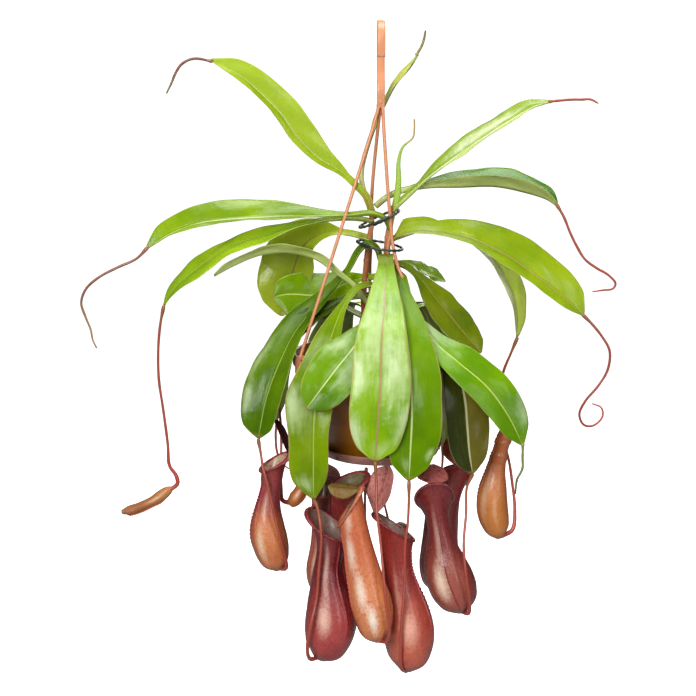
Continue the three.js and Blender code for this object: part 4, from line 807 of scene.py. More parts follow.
def add_blade(shape, leaf, seed, rows, half_columns=10, kinds=(0, 1), thin=1.0):
    """One leaf blade: two faces joined round their margins."""
    blade = Blade(leaf, seed, rows)
    columns = np.linspace(0, 1, half_columns + 1) ** 0.85
    left, left_up = blade.half(1, -1, columns)
    right, right_up = blade.half(0, 1, columns)
    top = np.stack(left[:0:-1] + right, 1)
    ups = np.stack(left_up[:0:-1] + right_up, 1)
    u = np.concatenate([-columns[:0:-1], columns])
    stalked = (1 - smoothstep(blade.s, blade.petiole * 0.5, blade.petiole * 1.8))[:, None]
    edge = 1 - 0.55 * np.abs(u) ** 6
    thick = ((BLADE["thickness"] * edge + BLADE["keel"] * np.exp(-((u * 6.5) ** 2))) * thin)[None]
    stalk = (BLADE["stalk"] * np.sqrt(np.maximum(0.05, 1 - u**2)))[None]
    thick = thick + (stalk - thick) * stalked
    groove = -BLADE["groove"] * np.exp(-((u * 11) ** 2))[None] * (1 - stalked) * thin
    bottom = top - ups * thick[..., None]
    top = top + ups * groove[..., None]
    wide = len(u)
    marks = np.stack(np.broadcast_arrays((u * 0.5 + 0.5)[None], blade.s[:, None]), -1)
    ring = np.concatenate([top, bottom[:, ::-1]], 1)
    ring_marks = np.concatenate([marks, marks[:, ::-1]], 1)
    count = 2 * wide
    quads = [quad[::-1] for quad in grid_faces(rows, count)]
    kind = ([kinds[0]] * wide + [kinds[1]] * (wide - 1) + [kinds[0]]) * (rows - 1)
    for row in (0, rows - 1):
        base = row * count
        for j in range(wide - 1):
            quad = [base + j, base + j + 1, base + count - 2 - j, base + count - 1 - j]
            quads.append(quad if row == 0 else quad[::-1])
            kind.append(kinds[0])
    shape.add(ring, quads, kind, ring_marks)


def add_tendril(shape, points, end_radius, kind, seed=0):
    """A tendril from a leaf's tip: even for most of its length, then thinner or thicker to its end."""
    path = Path(points)

    def radius(s):
        size = TENDRIL["radius"] + (end_radius - TENDRIL["radius"]) * s**6
        size = size * (1 + TENDRIL["knobs"] * math.sin(s * 37 + seed) * math.sin(s * 11))
        return size + TENDRIL["collar"] * math.exp(-((s - 0.02) / 0.03) ** 2)

    rings = max(40, int(path.length / TENDRIL["ring_spacing"]))
    add_tube(shape, path, radius, sides=10, rings=rings, kind=kind)


# shares of a pitcher's height at which its radius is given
PITCHER_SHARES = (0, 0.06, 0.16, 0.28, 0.44, 0.6, 0.76, 0.9, 1)


def pitcher_radii(pitcher):
    """The radii at those shares, worked out from the belly, waist and mouth."""
    belly, waist, mouth = pitcher["belly"], pitcher["waist"], pitcher["mouth"]
    lower = belly + (waist - belly) * 0.72
    return (0.25 * belly, 0.66 * belly, 0.92 * belly, belly, 0.88 * belly, lower, waist,
            waist + (mouth - waist) * 0.25, mouth)


def smooth_profile(shares, values, wanted):
    """A smooth curve through (share, value) pairs, read at the wanted shares."""
    shares = np.array(shares, float)
    values = np.array(values, float)
    slope = np.gradient(values, shares)
    i = np.clip(np.searchsorted(shares, wanted, side="right") - 1, 0, len(shares) - 2)
    gap = shares[i + 1] - shares[i]
    t = (wanted - shares[i]) / gap
    return hermite(t, gap, values[i], values[i + 1], slope[i], slope[i + 1])


def ring_turns(sides):
    """Angles round a pitcher, closer together at its two front wings."""
    even = np.linspace(0, 2 * np.pi, sides, endpoint=False)
    near = [math.pi + wing + d for wing in (WING["turn"], -WING["turn"])
            for d in (-0.09, -0.045, -0.02, 0.0, 0.02, 0.045, 0.09)]
    return np.array(sorted(set(np.round(np.concatenate([even, near]), 4))))


class Cup:
    """The surface of one pitcher: points at any share of its height, angle and depth."""

    def __init__(self, pitcher, seed=0):
        self.path = Path(pitcher["axis"])
        self.high = np.array(pitcher["high"], float)
        self.slant = pitcher["slant"]
        self.mouth = pitcher["mouth"]
        self.lip = pitcher.get("lip", CUP["lip"])
        self.wing = pitcher.get("wing", WING["height"])
        self.collars = pitcher.get("collars", ())
        self.radii = pitcher_radii(pitcher)
        self.phase = seed * 1.7

    def basis(self, share):
        along = self.path.along(share)
        toward = unit(self.high - along * np.sum(along * self.high, -1, keepdims=True))
        return self.path.at(share), along, toward, np.cross(along, toward)

    def turn_toward(self, direction):
        """The share of a whole turn at which the belly faces a direction."""
        _, _, toward, side = self.basis(np.array([0.35]))
        angle = math.atan2(float(np.dot(side[0], direction)), float(np.dot(toward[0], direction)))
        return angle / (2 * math.pi)

    def relief(self, s, t):
        """How far the outside stands off at share s and angle t: fringed wings, collars, unevenness."""
        total = 0.0
        for offset in (WING["turn"], -WING["turn"]):
            ridge = np.exp(-((t - math.pi - offset) / WING["breadth"]) ** 2)
            reach = smoothstep(s, 0.16, 0.4) * (1 - smoothstep(s, 0.9, 0.98))
            fringe = 0.75 + 0.25 * np.sin(s * WING["fringes"] + offset * 9 + self.phase)
            total = total + self.wing * ridge * reach * fringe
        for place_at in self.collars:
            total = total + 0.7 * np.exp(-((s - place_at) / 0.014) ** 2)
        swell = CUP["swell"] * np.sin(t * 3 + s * 5 + self.phase) + 0.18 * np.sin(t * 2 - s * 9 + self.phase)
        return total + swell * smoothstep(s, 0.05, 0.3) * (1 - smoothstep(s, 0.9, 1))

    def surface(self, shares, turns, inset=0.0, relief=False):
        at, along, toward, side = self.basis(shares)
        radius = smooth_profile(PITCHER_SHARES, self.radii, shares)[:, None] - inset
        radius = radius + np.zeros(len(turns))[None]
        if relief:
            radius = radius + self.relief(shares[:, None], turns[None])
        lift = (self.slant * smoothstep(shares, 0.55, 1))[:, None] * np.cos(turns)[None]
        return (at[:, None] + toward[:, None] * (np.cos(turns)[None] * radius)[..., None]
                + side[:, None] * (np.sin(turns)[None] * radius)[..., None]
                + along[:, None] * lift[..., None])

    def mouth_ring(self, turns, radius, lift, rise=0.0):
        """A ring about the mouth, of a radius and a lift along the axis at each angle."""
        centre, along, toward, side = self.basis(np.array([1.0]))
        return (centre + along * rise + toward * (np.cos(turns) * radius)[:, None]
                + side * (np.sin(turns) * radius)[:, None] + along * lift[:, None])

    def closed_top(self, turns):
        """Rings of the shut lid over a young pitcher's mouth."""
        for k in range(1, CAP_ROWS + 1):
            a = k / (CAP_ROWS + 1) * math.pi / 2
            lift = self.slant * np.cos(turns) * math.cos(a)
            radius = self.mouth * math.cos(a) + 0.05
            yield self.mouth_ring(turns, radius, lift, self.mouth * 0.9 * math.sin(a))

    def rolled_lip(self, turns):
        """Rings of the lip, rolled from the outside of the mouth over to its inside."""
        roll = self.lip * (1 + 0.25 * np.cos(turns))
        for a in np.linspace(-0.75, 1, CUP["lip_rows"]) * math.pi:
            radius = self.mouth + 0.35 + roll * (math.cos(a) * 0.95)
            yield self.mouth_ring(turns, radius, self.slant * np.cos(turns) + roll * (math.sin(a) * 0.8))


def add_cup(shape, cup, closed):
    """Body with two fringed wings, rolled and ribbed lip, and the inner wall."""
    turns = ring_turns(CUP["sides"])
    wide = len(turns)
    foot = np.linspace(0, 0.12, CUP["foot_rows"], endpoint=False)
    shares = np.concatenate([foot, np.linspace(0.12, 1, CUP["rows"] - CUP["foot_rows"])])
    rings = [cup.surface(shares, turns, relief=True)]
    along_marks = [shares]
    kinds = [0] * (CUP["rows"] - 1)
    first, top_kind, rows = (1, 2, cup.closed_top(turns)) if closed else (0, 1, cup.rolled_lip(turns))
    for k, ring in enumerate(rows, first):
        rings.append(ring[None])
        along_marks.append(np.array([1.0 + k * 0.001]))
        kinds.append(top_kind)
    if not closed:
        inner_shares = np.linspace(0.985, 0.1, CUP["inside_rows"])
        rings.append(cup.surface(inner_shares, turns, CUP["wall"]))
        along_marks.append(inner_shares)
        kinds += [2] * len(inner_shares)
    cloud = np.concatenate(rings, 0)
    count = len(cloud)
    marks = np.stack(np.broadcast_arrays(turns[None] / (2 * np.pi), np.concatenate(along_marks)[:, None]), -1)
    faces = grid_faces(count, wide)
    faces.append(list(range(wide))[::-1])
    faces.append([(count - 1) * wide + j for j in range(wide)])
    shape.add(cloud, faces, [kind for kind in kinds for _ in range(wide)] + [0, 2], marks)


def lid_blade(cup, lid):
    """The lid as a small ovate blade from its hinge at the high side of the mouth to its tip."""
    at, along, toward, _ = cup.basis(np.array([1.0]))
    hinge = at[0] + toward[0] * (cup.mouth - 0.4) + along[0] * (cup.slant - 0.8)
    tip = np.array(lid["tip"], float)
    return dict(
        spine=[hinge, (hinge + tip) / 2, tip], faces=[lid["face"]],
        halves=(lid["width"] / 2, lid["width"] / 2),
        fold=(-12, -12), petiole=0.02, petiole_half=1.6, peak=0.5, wave=0.1, pucker=0.25, calm=0.2,
    )


# ---------------------------------------------------------------- looks

# top and under: colours of a blade's two faces, each with a shade that it drifts to; split: colour painted
# over the far half, painted light where that half catches the light and painted shade where it lies in
# shade; rib and margin: colour and share; blush: colour, where along the blade it fades, and share;
# patches: painted sheen where the blade catches the light, darker ones painted shade, each with colour,
# place along and across, half length, half breadth and share
LEAF_LOOK = dict(
    top="#6A9204", shade="#547C04", streak="#8CBC28", under="#7A9440", under_shade="#657E30",
    rib=("#BCCB70", 0.7), rib_width=0.03, margin=("#BCC070", 0.55), blush=("#8A5A34", (0.12, 0.0), 0.3),
    tip="#A08848", coat=0.15, shine=0.28, painted_light_patches=(),
)
# leaves that hang in front, with less gloss
SATIN = dict(coat=0.08, shine=0.16)
# painted sheen: pale colours painted where a blade catches the light
PAINTED_SHEEN = "#C4D89A"
GREY_PAINTED_SHEEN = "#A9BE8C"
PALE_PAINTED_SHEEN = "#D2E2B0"
BROWN_RIB = ("#8A5E38", 0.8)
PINK_RIB = ("#B88A6A", 0.8)

LEAF_LOOKS = {
    "leaf_upper_left": dict(
        top="#A2BC1E", shade="#8CA80C", streak="#BCD46A", split="#A8C22C", rib=("#D8DC98", 0.75),
        blush=("#A06A3C", (0.16, 0.02), 0.6)),
    "leaf_upright": dict(
        top="#DADF88", shade="#B8BE54", streak="#DCE2B0", under="#D8DEA4", under_shade="#B4BE78"),
    # leaf_upper_right: its wide pale rib is partly the midrib and partly a painted highlight along the
    # middle; its pale far half is painted sheen
    "leaf_upper_right": dict(
        top="#8CA82C", shade="#7C9A1C", streak="#DCE6B8", split="#C4D480", under="#A4B866",
        rib=("#EEF2CC", 0.9),
        rib_width=0.06, painted_light_patches=(("#E4EEC0", 0.62, 0.3, 0.3, 0.22, 0.8),)),
    "leaf_right": dict(
        top="#4C7C00", shade="#3E6A00", streak="#5E8C0C", under="#C6D286", under_shade="#AEBC6C",
        rib=PINK_RIB),
    "leaf_far_right": dict(
        top="#98B20C", shade="#82A006", streak="#B4D04C", under="#9CB46A", rib=PINK_RIB,
        painted_light_patches=((PAINTED_SHEEN, 0.16, 0.7, 0.12, 0.5, 0.6), (GREY_PAINTED_SHEEN, 0.34, 0.8, 0.12, 0.3, 0.4))),
    "leaf_right_hanging": dict(
        top="#D4E65C", shade="#B4CE40", split="#DCE2AC", under="#E8EEB4", under_shade="#D4DC98"),
    "leaf_far_left": dict(
        top="#80A000", shade="#6E9000", streak="#A4C03C", under="#82A020", under_shade="#709012",
        rib=("#D0D890", 0.8)),
    "leaf_left": dict(
        top="#94B414", shade="#7EA20A", streak="#AED058", under="#90A450", under_shade="#809640"),
    "leaf_left_folded": dict(
        top="#A6B628", shade="#8CA018", under="#A6B634", under_shade="#90A024", rib=BROWN_RIB),
    "leaf_left_low": dict(
        top="#D2E878", shade="#B4CE58", streak="#DCEC98", under="#D4E488", under_shade="#BACE6C",
        rib=("#EEF2C0", 0.8)),
    "leaf_left_short": dict(
        SATIN, top="#7CA002", shade="#688C00", rib=("#C2D67E", 0.8),
        painted_light_patches=((GREY_PAINTED_SHEEN, 0.5, 0.8, 0.2, 0.3, 0.5),)),
    "leaf_left_drooping": dict(
        SATIN, top="#5E8200", shade="#4A6E00", streak="#749C14", rib=("#A8BC5C", 0.75), coat=0.1,
        painted_light_patches=((PAINTED_SHEEN, 0.72, 0.92, 0.1, 0.12, 0.5), (PAINTED_SHEEN, 0.84, 0.88, 0.07, 0.12, 0.5),
                 (GREY_PAINTED_SHEEN, 0.55, 0.75, 0.14, 0.2, 0.35))),
    "leaf_front_left": dict(
        SATIN, top="#7A9800", shade="#668400", under="#72901A", under_shade="#647F14", rib=("#B4C860", 0.7),
        margin=("#C0A070", 0.7),
        painted_light_patches=((PAINTED_SHEEN, 0.66, 0.82, 0.1, 0.25, 0.55), (PAINTED_SHEEN, 0.94, 0.7, 0.04, 0.2, 0.5),
                 (GREY_PAINTED_SHEEN, 0.45, 0.7, 0.1, 0.4, 0.5))),
    "leaf_front_left_short": dict(
        SATIN, top="#628C00", shade="#4E7800", streak="#8AB02C", split="#6A9406", rib=("#CDDC90", 0.8),
        painted_light_patches=((GREY_PAINTED_SHEEN, 0.62, 0.25, 0.2, 0.35, 0.75), (PAINTED_SHEEN, 0.5, 0.8, 0.16, 0.2, 0.5))),
    "leaf_front": dict(
        top="#84AE00", shade="#709C00", streak="#9CC430", rib=("#A88460", 0.9), rib_width=0.04,
        margin=("#C8B068", 0.7), coat=0.12, shine=0.22,
        painted_light_patches=((PAINTED_SHEEN, 0.42, 0.6, 0.2, 0.6, 0.7), (PAINTED_SHEEN, 0.6, 0.85, 0.14, 0.3, 0.7),
                 (PAINTED_SHEEN, 0.62, 0.2, 0.16, 0.3, 0.75), ("#DCE8C0", 0.87, 0.98, 0.1, 0.25, 0.65),
                 (PALE_PAINTED_SHEEN, 0.82, 0.06, 0.1, 0.2, 0.55), (PALE_PAINTED_SHEEN, 0.95, 0.4, 0.05, 0.25, 0.35))),
    "leaf_front_right": dict(
        top="#628A00", shade="#547C00", streak="#76A010", rib=("#C6D68A", 0.85), rib_width=0.035,
        margin=("#C4BC60", 0.6), coat=0.05, shine=0.08,
        painted_light_patches=(("#7CA02C", 0.3, 0.5, 0.2, 0.7, 0.7), (PAINTED_SHEEN, 0.93, 0.6, 0.04, 0.15, 0.35),
                 (PAINTED_SHEEN, 0.88, 0.1, 0.03, 0.1, 0.6))),
    "leaf_right_low": dict(
        top="#748408", shade="#5E7206", streak="#96A424", under="#74841C", under_shade="#627216",
        rib=("#B09848", 0.7), margin=("#8A6A38", 0.5)),
    "leaf_right_low_dark": dict(top="#6C8420", shade="#54701A", under="#8A9A4C"),
    "leaf_front_far_right": dict(
        SATIN, top="#6E9C00", shade="#5A8A00", streak="#86B028", under="#7A9A50", rib=("#C8D870", 0.8),
        painted_light_patches=((GREY_PAINTED_SHEEN, 0.3, 0.3, 0.14, 0.4, 0.8), (GREY_PAINTED_SHEEN, 0.86, 0.12, 0.08, 0.2, 0.7),
                 ("#50840A", 0.6, 0.85, 0.2, 0.2, 0.5))),
    # leaf_right_shaded: its near-black far half is painted shade
    "leaf_right_shaded": dict(
        top="#766C20", shade="#605A18", streak="#6C7A20", split="#1C2C06", under="#766C24",
        under_shade="#605A1C",
        rib=("#C0C090", 0.9), rib_width=0.05, coat=0.08, shine=0.2),
    "leaf_left_shaded": dict(top="#4A6404", shade="#3A5404", under="#4A600C", under_shade="#3C500A"),
    "leaf_back_left": dict(top="#A8C22C", shade="#8EAC20"),
    "leaf_back_right": dict(top="#B0CA24", shade="#90AE14"),
    "leaf_back_far_left": dict(top="#58780C", shade="#48680A"),
}

# low and high: colours of a cup's foot and neck; change: where along it one turns to the other; flush:
# colour and share of painted light on the side that faces the light, lit turned from it; glints: painted
# highlights, each with place along, place round, half length, half breadth and share; glint: their colour;
# rim: colour and share of painted shade where the outside turns edge-on to the view, not the mouth's rim
WINE = dict(
    low="#8A2E2C", high="#64161C", change=(0.15, 0.7), painted_lit_side=("#B8644C", 0.5), lit=0.0,
    mottle=("#B45E58", 0.3),
    rim=("#4A1216", 0.7), speck=("#38080E", 0.35), vein="#A03438", gloss=0.28, coat=0.3, lip="#701A20",
    lip_light="#A83E40", inside="#8E7460", inside_fleck="#5E3A32", lid="#8A4A48", lid_fleck="#5C1E28",
    lid_edge="#A8564E", glint="#E8B89C", glints=((0.34, 0.0, 0.2, 0.06, 0.6),),
)
AMBER = dict(
    WINE, low="#C46A2A", high="#B85A30", painted_lit_side=("#D8904C", 0.45), mottle=("#B04434", 0.35),
    speck=("#8A301C", 0.3), vein="#B84838", lip="#B04C34", lip_light="#D08458", lid="#B06848",
    lid_fleck="#8E3C38", rim=("#8A3420", 0.6), glint="#F6D4B0",
)
# the way the key light comes from; the painted light and painted highlights on each cup are turned toward it
LIGHT_SIDE = (-0.3, -1, 0)
# share of the gloss that a lid has
LID_DULL = 0.2
PITCHER_LOOKS = {
    "pitcher_left": dict(
        low="#D07440", high="#98303A", change=(0.4, 0.66), painted_lit_side=("#DC9058", 0.4), glint="#F6D4B2",
        glints=((0.3, -0.03, 0.2, 0.05, 0.8), (0.62, 0.0, 0.2, 0.05, 0.3)), inside="#C8A888", lip="#983038",
        lid="#3C1E1C", lid_fleck="#2A1210", lid_edge="#6A2C28"),
    "pitcher_front_left": dict(
        low="#AA3A3E", high="#6C141E", painted_lit_side=("#BC5044", 0.4), glint="#F4C8B4", inside="#8E7064",
        lid="#8A4A4A",
        glints=((0.36, 0.0, 0.16, 0.06, 0.85), (0.7, 0.02, 0.3, 0.04, 0.5))),
    "pitcher_middle_back": dict(
        low="#7C2022", high="#842828", inside="#7C7250", lid="#6A4A34", lid_fleck="#4A2A20"),
    "pitcher_front": dict(
        low="#D07034", high="#CC683C", painted_lit_side=("#E8A070", 0.5), mottle=("#B44438", 0.5), glint="#FFF0DC",
        glints=((0.2, 0.04, 0.14, 0.05, 0.95), (0.42, -0.01, 0.18, 0.06, 0.75),
                (0.72, -0.05, 0.2, 0.07, 0.65),
                (0.95, 0.0, 0.1, 0.06, 0.45)), lid="#7A6434", lid_fleck="#84522C", lid_edge="#5E2E1A"),
    "pitcher_front_right": dict(
        low="#C45440", high="#94201F", painted_lit_side=("#D07054", 0.55), glint="#F4BCA4",
        glints=((0.34, 0.05, 0.15, 0.07, 0.75), (0.6, 0.0, 0.2, 0.03, 0.35)), lid="#D08A80",
        lid_fleck="#9A4450", lid_edge="#A84E4C"),
    "pitcher_right": dict(
        low="#922E28", high="#781A20", painted_lit_side=("#B46A54", 0.5), glint="#F8DCC4", lid="#B06058",
        glints=((0.34, -0.02, 0.2, 0.06, 0.9), (0.66, 0.0, 0.2, 0.05, 0.35))),
    "pitcher_right_back": dict(
        low="#A03438", high="#8A2428", rim=("#5A1418", 0.4), glints=((0.8, 0.0, 0.14, 0.08, 0.3),),
        lid="#B0584C", lid_fleck="#7A3028"),
    "pitcher_far_right": dict(
        low="#C07028", high="#B05E34", mottle=("#C05A3C", 0.2), speck=("#A05028", 0.2),
        glints=((0.42, -0.06, 0.3, 0.05, 0.45), (0.3, 0.06, 0.2, 0.03, 0.3))),
    "pitcher_young_far_left": dict(low="#A06828", high="#985E30"),
    "pitcher_left_back": dict(
        low="#B0664C", high="#9C5044", painted_lit_side=("#B87C60", 0.3), lid="#B48074", lid_fleck="#8E5850"),
}
# colours of a tendril at its leaf, along it and at its end
TENDRIL_COLOURS = ("#946038", "#A84C3A", "#B4483A")
LEAF_TENDRIL_COLOURS = {
    "leaf_upper_left": ("#98603A", "#7C4630", "#8C7C50"),
    "leaf_upright": ("#98A04C", "#90883C", "#6E5A30"),
    "leaf_far_left": ("#9A6A50", "#8C5840", "#A88456"),
    "leaf_front_far_right": ("#8C9C48", "#7C8A50", "#50503C"),
}

# ---------------------------------------------------------------- settings


class PlantSettings(bpy.types.PropertyGroup):
    """What a user would change about the plant."""

    blade_rows: bpy.props.IntProperty(
        name="Blade rows", description="Rows of faces along a leaf", default=84, min=24)
    cup_rib_count: bpy.props.IntProperty(
        name="Lip ribs", description="Ribs round a pitcher's lip", default=90, min=20)
    leaf_gloss: bpy.props.FloatProperty(
        name="Leaf roughness", description="How dull the leaves are", default=0.24, min=0.05, max=1,
        subtype="FACTOR")
    hanger_colour: bpy.props.FloatVectorProperty(
        name="Hanger colour", description="Colour of the moulded hanger", default=linear("#DE9468")[:3],
        size=3, min=0, max=1, subtype="COLOR")
    pot_colour: bpy.props.FloatVectorProperty(
        name="Pot colour", description="Colour of the pot", default=linear("#9C6006")[:3],
        size=3, min=0, max=1, subtype="COLOR")


class StudioSettings(bpy.types.PropertyGroup):
    """The studio round the plant."""

    floor_drop: bpy.props.FloatProperty(
        name="Floor drop", description="How far the floor is below the hook", default=0.85, unit="LENGTH")
    paper_glow: bpy.props.FloatProperty(
        name="Paper glow", description="How bright the backdrop looks", default=1.0, min=0)
    sky: bpy.props.FloatProperty(name="Sky", description="Strength of the even light", default=0.16, min=0)
    key_power: bpy.props.FloatProperty(
        name="Key light", description="Power of the main softbox", default=34, min=0)
    view_distance: bpy.props.FloatProperty(
        name="View distance", description="From the camera to the plant", default=1.54, unit="LENGTH")


# ---------------------------------------------------------------- operators


def tone(colour, share=1.0):
    """A colour made darker or lighter, with its alpha."""
    return (colour[0] * share, colour[1] * share, colour[2] * share, 1.0)


class BuildPot(bpy.types.Operator):
    """The round pot with its collar and drain hole."""

    bl_idname = "plant.build_pot"
    bl_label = "Pot"

    def execute(self, context):
        base = POT["base_z"]
        rim = POT["rim_top"]
        rim_radius = POT["rim_radius"]
        wall = POT["wall"]
        collar_bottom = rim - POT["collar_drop"]
        slope = (POT["body_top_radius"] - POT["base_radius"]) / (collar_bottom - base)

        def outer(z):
            return POT["base_radius"] + (z - base) * slope

        floor = base + wall
        profile = [
            (POT["drain_radius"], base), (POT["base_radius"] - 1.8, base),
            (POT["base_radius"] - 0.5, base + 0.5), (outer(base + 1.8), base + 1.8),
            (outer(collar_bottom - 1), collar_bottom - 1),
            (outer(collar_bottom), collar_bottom - 0.3), (rim_radius - 0.9, collar_bottom - 0.1),
            (rim_radius - 0.2, collar_bottom + 0.5), (rim_radius, collar_bottom + 1.3),
            (rim_radius, rim - 1.2),
            (rim_radius - 0.4, rim - 0.3), (rim_radius - 1.2, rim), (rim_radius - 2, rim),
            (rim_radius - 2.7, rim - 0.5), (outer(collar_bottom) - wall, collar_bottom),
            (outer(floor + 2) - wall, floor + 2), (outer(floor) - wall - 1.5, floor),
            (POT["drain_radius"], floor), (POT["drain_radius"], base),
        ]
        shape = Shape()
        lathe(shape, profile, 128)
        colour = context.scene.plant.pot_colour
        plastic = plain_material("pot_plastic", tone(colour), tone(colour, 0.7), 0.34, coat=0.1)
        place(shape.build("pot_moulding", [plastic], flat_angle=50), "pot", "pot")
        return {"FINISHED"}


class BuildSaucer(bpy.types.Operator):
    """The clip-on saucer with the ribs that hold it clear of the pot."""

    bl_idname = "plant.build_saucer"
    bl_label = "Saucer"

    def execute(self, context):
        under = SAUCER["underside"]
        base = SAUCER["base_radius"]
        wall = SAUCER["wall"]
        floor = under + wall
        lip = SAUCER["lip_radius"]
        top = SAUCER["lip_top"]
        outside = [(0.01, under), (base - 1.2, under), (base - 0.2, under + 0.5), (lip - 0.2, top - 1.4),
                   (lip, top - 0.9), (lip, top - 0.3), (lip - 0.4, top), (lip - wall + 0.3, top)]
        inside = [(lip - wall, top - 0.4), (base - wall, floor + 0.8), (base - wall - 0.8, floor),
                  (0.01, floor)]
        shape = Shape()
        sides = 128
        # the inside takes the second, near-black material: painted shade in the slot between the pot and the
        # saucer
        kinds = [0] * ((len(outside) - 1) * sides) + [1] * (len(inside) * sides)
        lathe(shape, outside + inside, sides, kinds)
        half = SAUCER["rib_width"] / 2
        for i in range(SAUCER["rib_count"]):
            add_box(shape, (SAUCER["rib_inner"], lip - 1.2), (-half, half), (floor - 0.5, top - 0.6),
                    2 * math.pi * i / SAUCER["rib_count"])
        clay = plain_material("saucer_plastic", "#BC8878", "#A87464", 0.35)
        # near-black: painted shade inside the saucer, round the pot's foot
        inside_shade = plain_material("saucer_inside_painted_shade", "#2A120C", "#3A1C12", 0.4)
        place(shape.build("saucer_moulding", [clay, inside_shade], flat_angle=40), "saucer", "saucer")
        return {"FINISHED"}


def soil_height(radius):
    """The height of the mound at a distance from the middle."""
    return SOIL["edge_z"] + SOIL["crown_rise"] * (1 - smoothstep(radius, SOIL["crown_start"], 62))


class BuildSoil(bpy.types.Operator):
    """The mound of bark, moss and grit in the pot."""

    bl_idname = "plant.build_soil"
    bl_label = "Potting mix"

    def execute(self, context):
        draw = np.random.default_rng(11)
        shape = Shape()
        rings = 46
        sides = 120
        turn = np.linspace(0, 2 * np.pi, sides, endpoint=False)
        r, t = np.meshgrid(np.linspace(0.02, SOIL["radius"], rings), turn, indexing="ij")
        x, y = r * np.cos(t), r * np.sin(t)
        z = soil_height(r)
        for k in range(1, 7):
            a, b, c = draw.uniform(0, 6.28, 3)
            z = z + SOIL["roll"] / k * np.sin(x * 0.09 * k + a) * np.cos(y * 0.1 * k + b) * np.cos(c)
        z = z + draw.normal(0, SOIL["grit"], z.shape) * smoothstep(r, 2, 6)
        foot = np.full(sides, float(SOIL["edge_z"] - SOIL["wall_height"]))
        wall = np.stack([SOIL["wall_radius"] * np.cos(turn), SOIL["wall_radius"] * np.sin(turn), foot], -1)
        cloud = np.concatenate([wall[None], np.stack([x, y, z], -1)[::-1]], 0)
        shape.add(cloud, grid_faces(rings + 1, sides) + [list(range(sides))[::-1]])
        for _ in range(SOIL["chips"]):
            size = draw.uniform(*SOIL["chip_sizes"])
            far = SOIL["chip_reach"] * math.sqrt(draw.uniform(0.02, 1))
            spin = draw.uniform(0, 2 * math.pi)
            height = float(soil_height(far)) + size * 0.15
            add_chip(shape, draw, (far * math.cos(spin), far * math.sin(spin), height), size)
        bark = plain_material("bark_mix", "#2A1C12", "#4A3422", 0.9, scale=140.0, depth=0.0012)
        chips = plain_material("bark_chips", "#5A4028", "#33241A", 0.85, scale=200.0, depth=0.0008)
        place(shape.build("potting_mix", [bark, chips], smooth=False), "soil", "soil")
        return {"FINISHED"}


def add_chip(shape, draw, centre, size):
    """A rough lump of bark."""
    sides = np.array([size, size * draw.uniform(0.4, 0.8), size * draw.uniform(0.25, 0.5)])
    corners = box_corners((-1, 1), (-1, 1), (-1, 1)) * sides / 2
    corners = corners * draw.uniform(0.7, 1.15, corners.shape)
    spin, tip, _ = draw.uniform(0, math.pi, 3)
    c, s = math.cos(tip * 0.3), math.sin(tip * 0.3)
    corners = corners @ np.array([(1, 0, 0), (0, c, -s), (0, s, c)]).T
    shape.add(turned(corners, spin) + np.array(centre), BOX_FACES, 1)


class BuildHanger(bpy.types.Operator):
    """The moulded hook, its three strands and the clips that grip the pot's rim."""

    bl_idname = "plant.build_hanger"
    bl_label = "Hanger"

    def execute(self, context):
        shape = Shape()
        rise = HOOK["inner_radius"] + HOOK["strap_thickness"] / 2
        bend = [(0, math.cos(a) * rise, math.sin(a) * rise - HOOK["inner_radius"])
                for a in np.linspace(0, math.pi, 9)]
        foot = HOOK["shank_end_z"]
        nose = HOOK["nose_z"]
        shank = [(0, 0, foot), (0, 0.05 * rise, foot + 14), (0, 0.5 * rise, foot + 26),
                 (0, 0.93 * rise, nose)]
        across = HOOK["strap_width"] / 2
        through = HOOK["strap_thickness"] / 2

        def strap(shares, turn):
            power = float(HOOK["corner_power"])
            total = np.abs(np.cos(turn) / across) ** power + np.abs(np.sin(turn) / through) ** power
            return total ** (-1 / power) * (1 + 0 * shares)

        path = Path([*shank, *bend, (0, -rise, nose)])
        add_tube(shape, path, lambda s: 1.0, sides=40, rings=110, start=(1, 0, 0), round_end=False,
                 profile=strap)
        for strand in STRANDS:
            # the back strand and its clip take the darker copy of the plastic: painted shade
            kind = 1 if strand["name"] == "strand_back" else 0
            turn = math.radians(strand["angle"])
            reach = POT["rim_radius"] - CLIP["gap"]
            seat = POT["rim_top"] + CLIP["gap"] + CLIP["thickness"] / 2
            route = [*strand["route"], (math.cos(turn) * reach, math.sin(turn) * reach, seat)]
            add_tube(shape, Path(route), lambda s: STRAND_RADIUS, sides=14, rings=120, kind=kind)
            add_clip(shape, turn, kind)
        yoke = Path([(-1.2, 0.9, foot - 2), (0, 0, foot + 3)])
        add_tube(shape, yoke, lambda s: HOOK["yoke_radius"], sides=16, rings=6)
        # a thin dark band at the end of the hook's nose: a painted shadow line where the nose ends
        add_box(shape, (-across, across), (-rise - through, -rise + through), (nose - 0.6, nose + 0.4),
                kind=2)
        colour = context.scene.plant.hanger_colour
        light = plain_material("hanger_plastic", tone(colour), tone(colour, 0.9), 0.36, coat=0.1)
        # a darker copy of the plastic for the back strand: painted shade for the shadow it hangs in
        dark = plain_material("hanger_plastic_back_painted_shade", tone(colour, 0.95), tone(colour, 0.8), 0.4, coat=0.1)
        # the dark band's material: painted shadow
        nose_shadow = plain_material("hanger_plastic_nose_shadow", tone(colour, 0.45), tone(colour, 0.4), 0.5)
        obj = shape.build("hanger_moulding", [light, dark, nose_shadow], flat_angle=50)
        place(obj, "hanger", "hanger_hook", "strand_left", "strand_right", "strand_back")
        return {"FINISHED"}


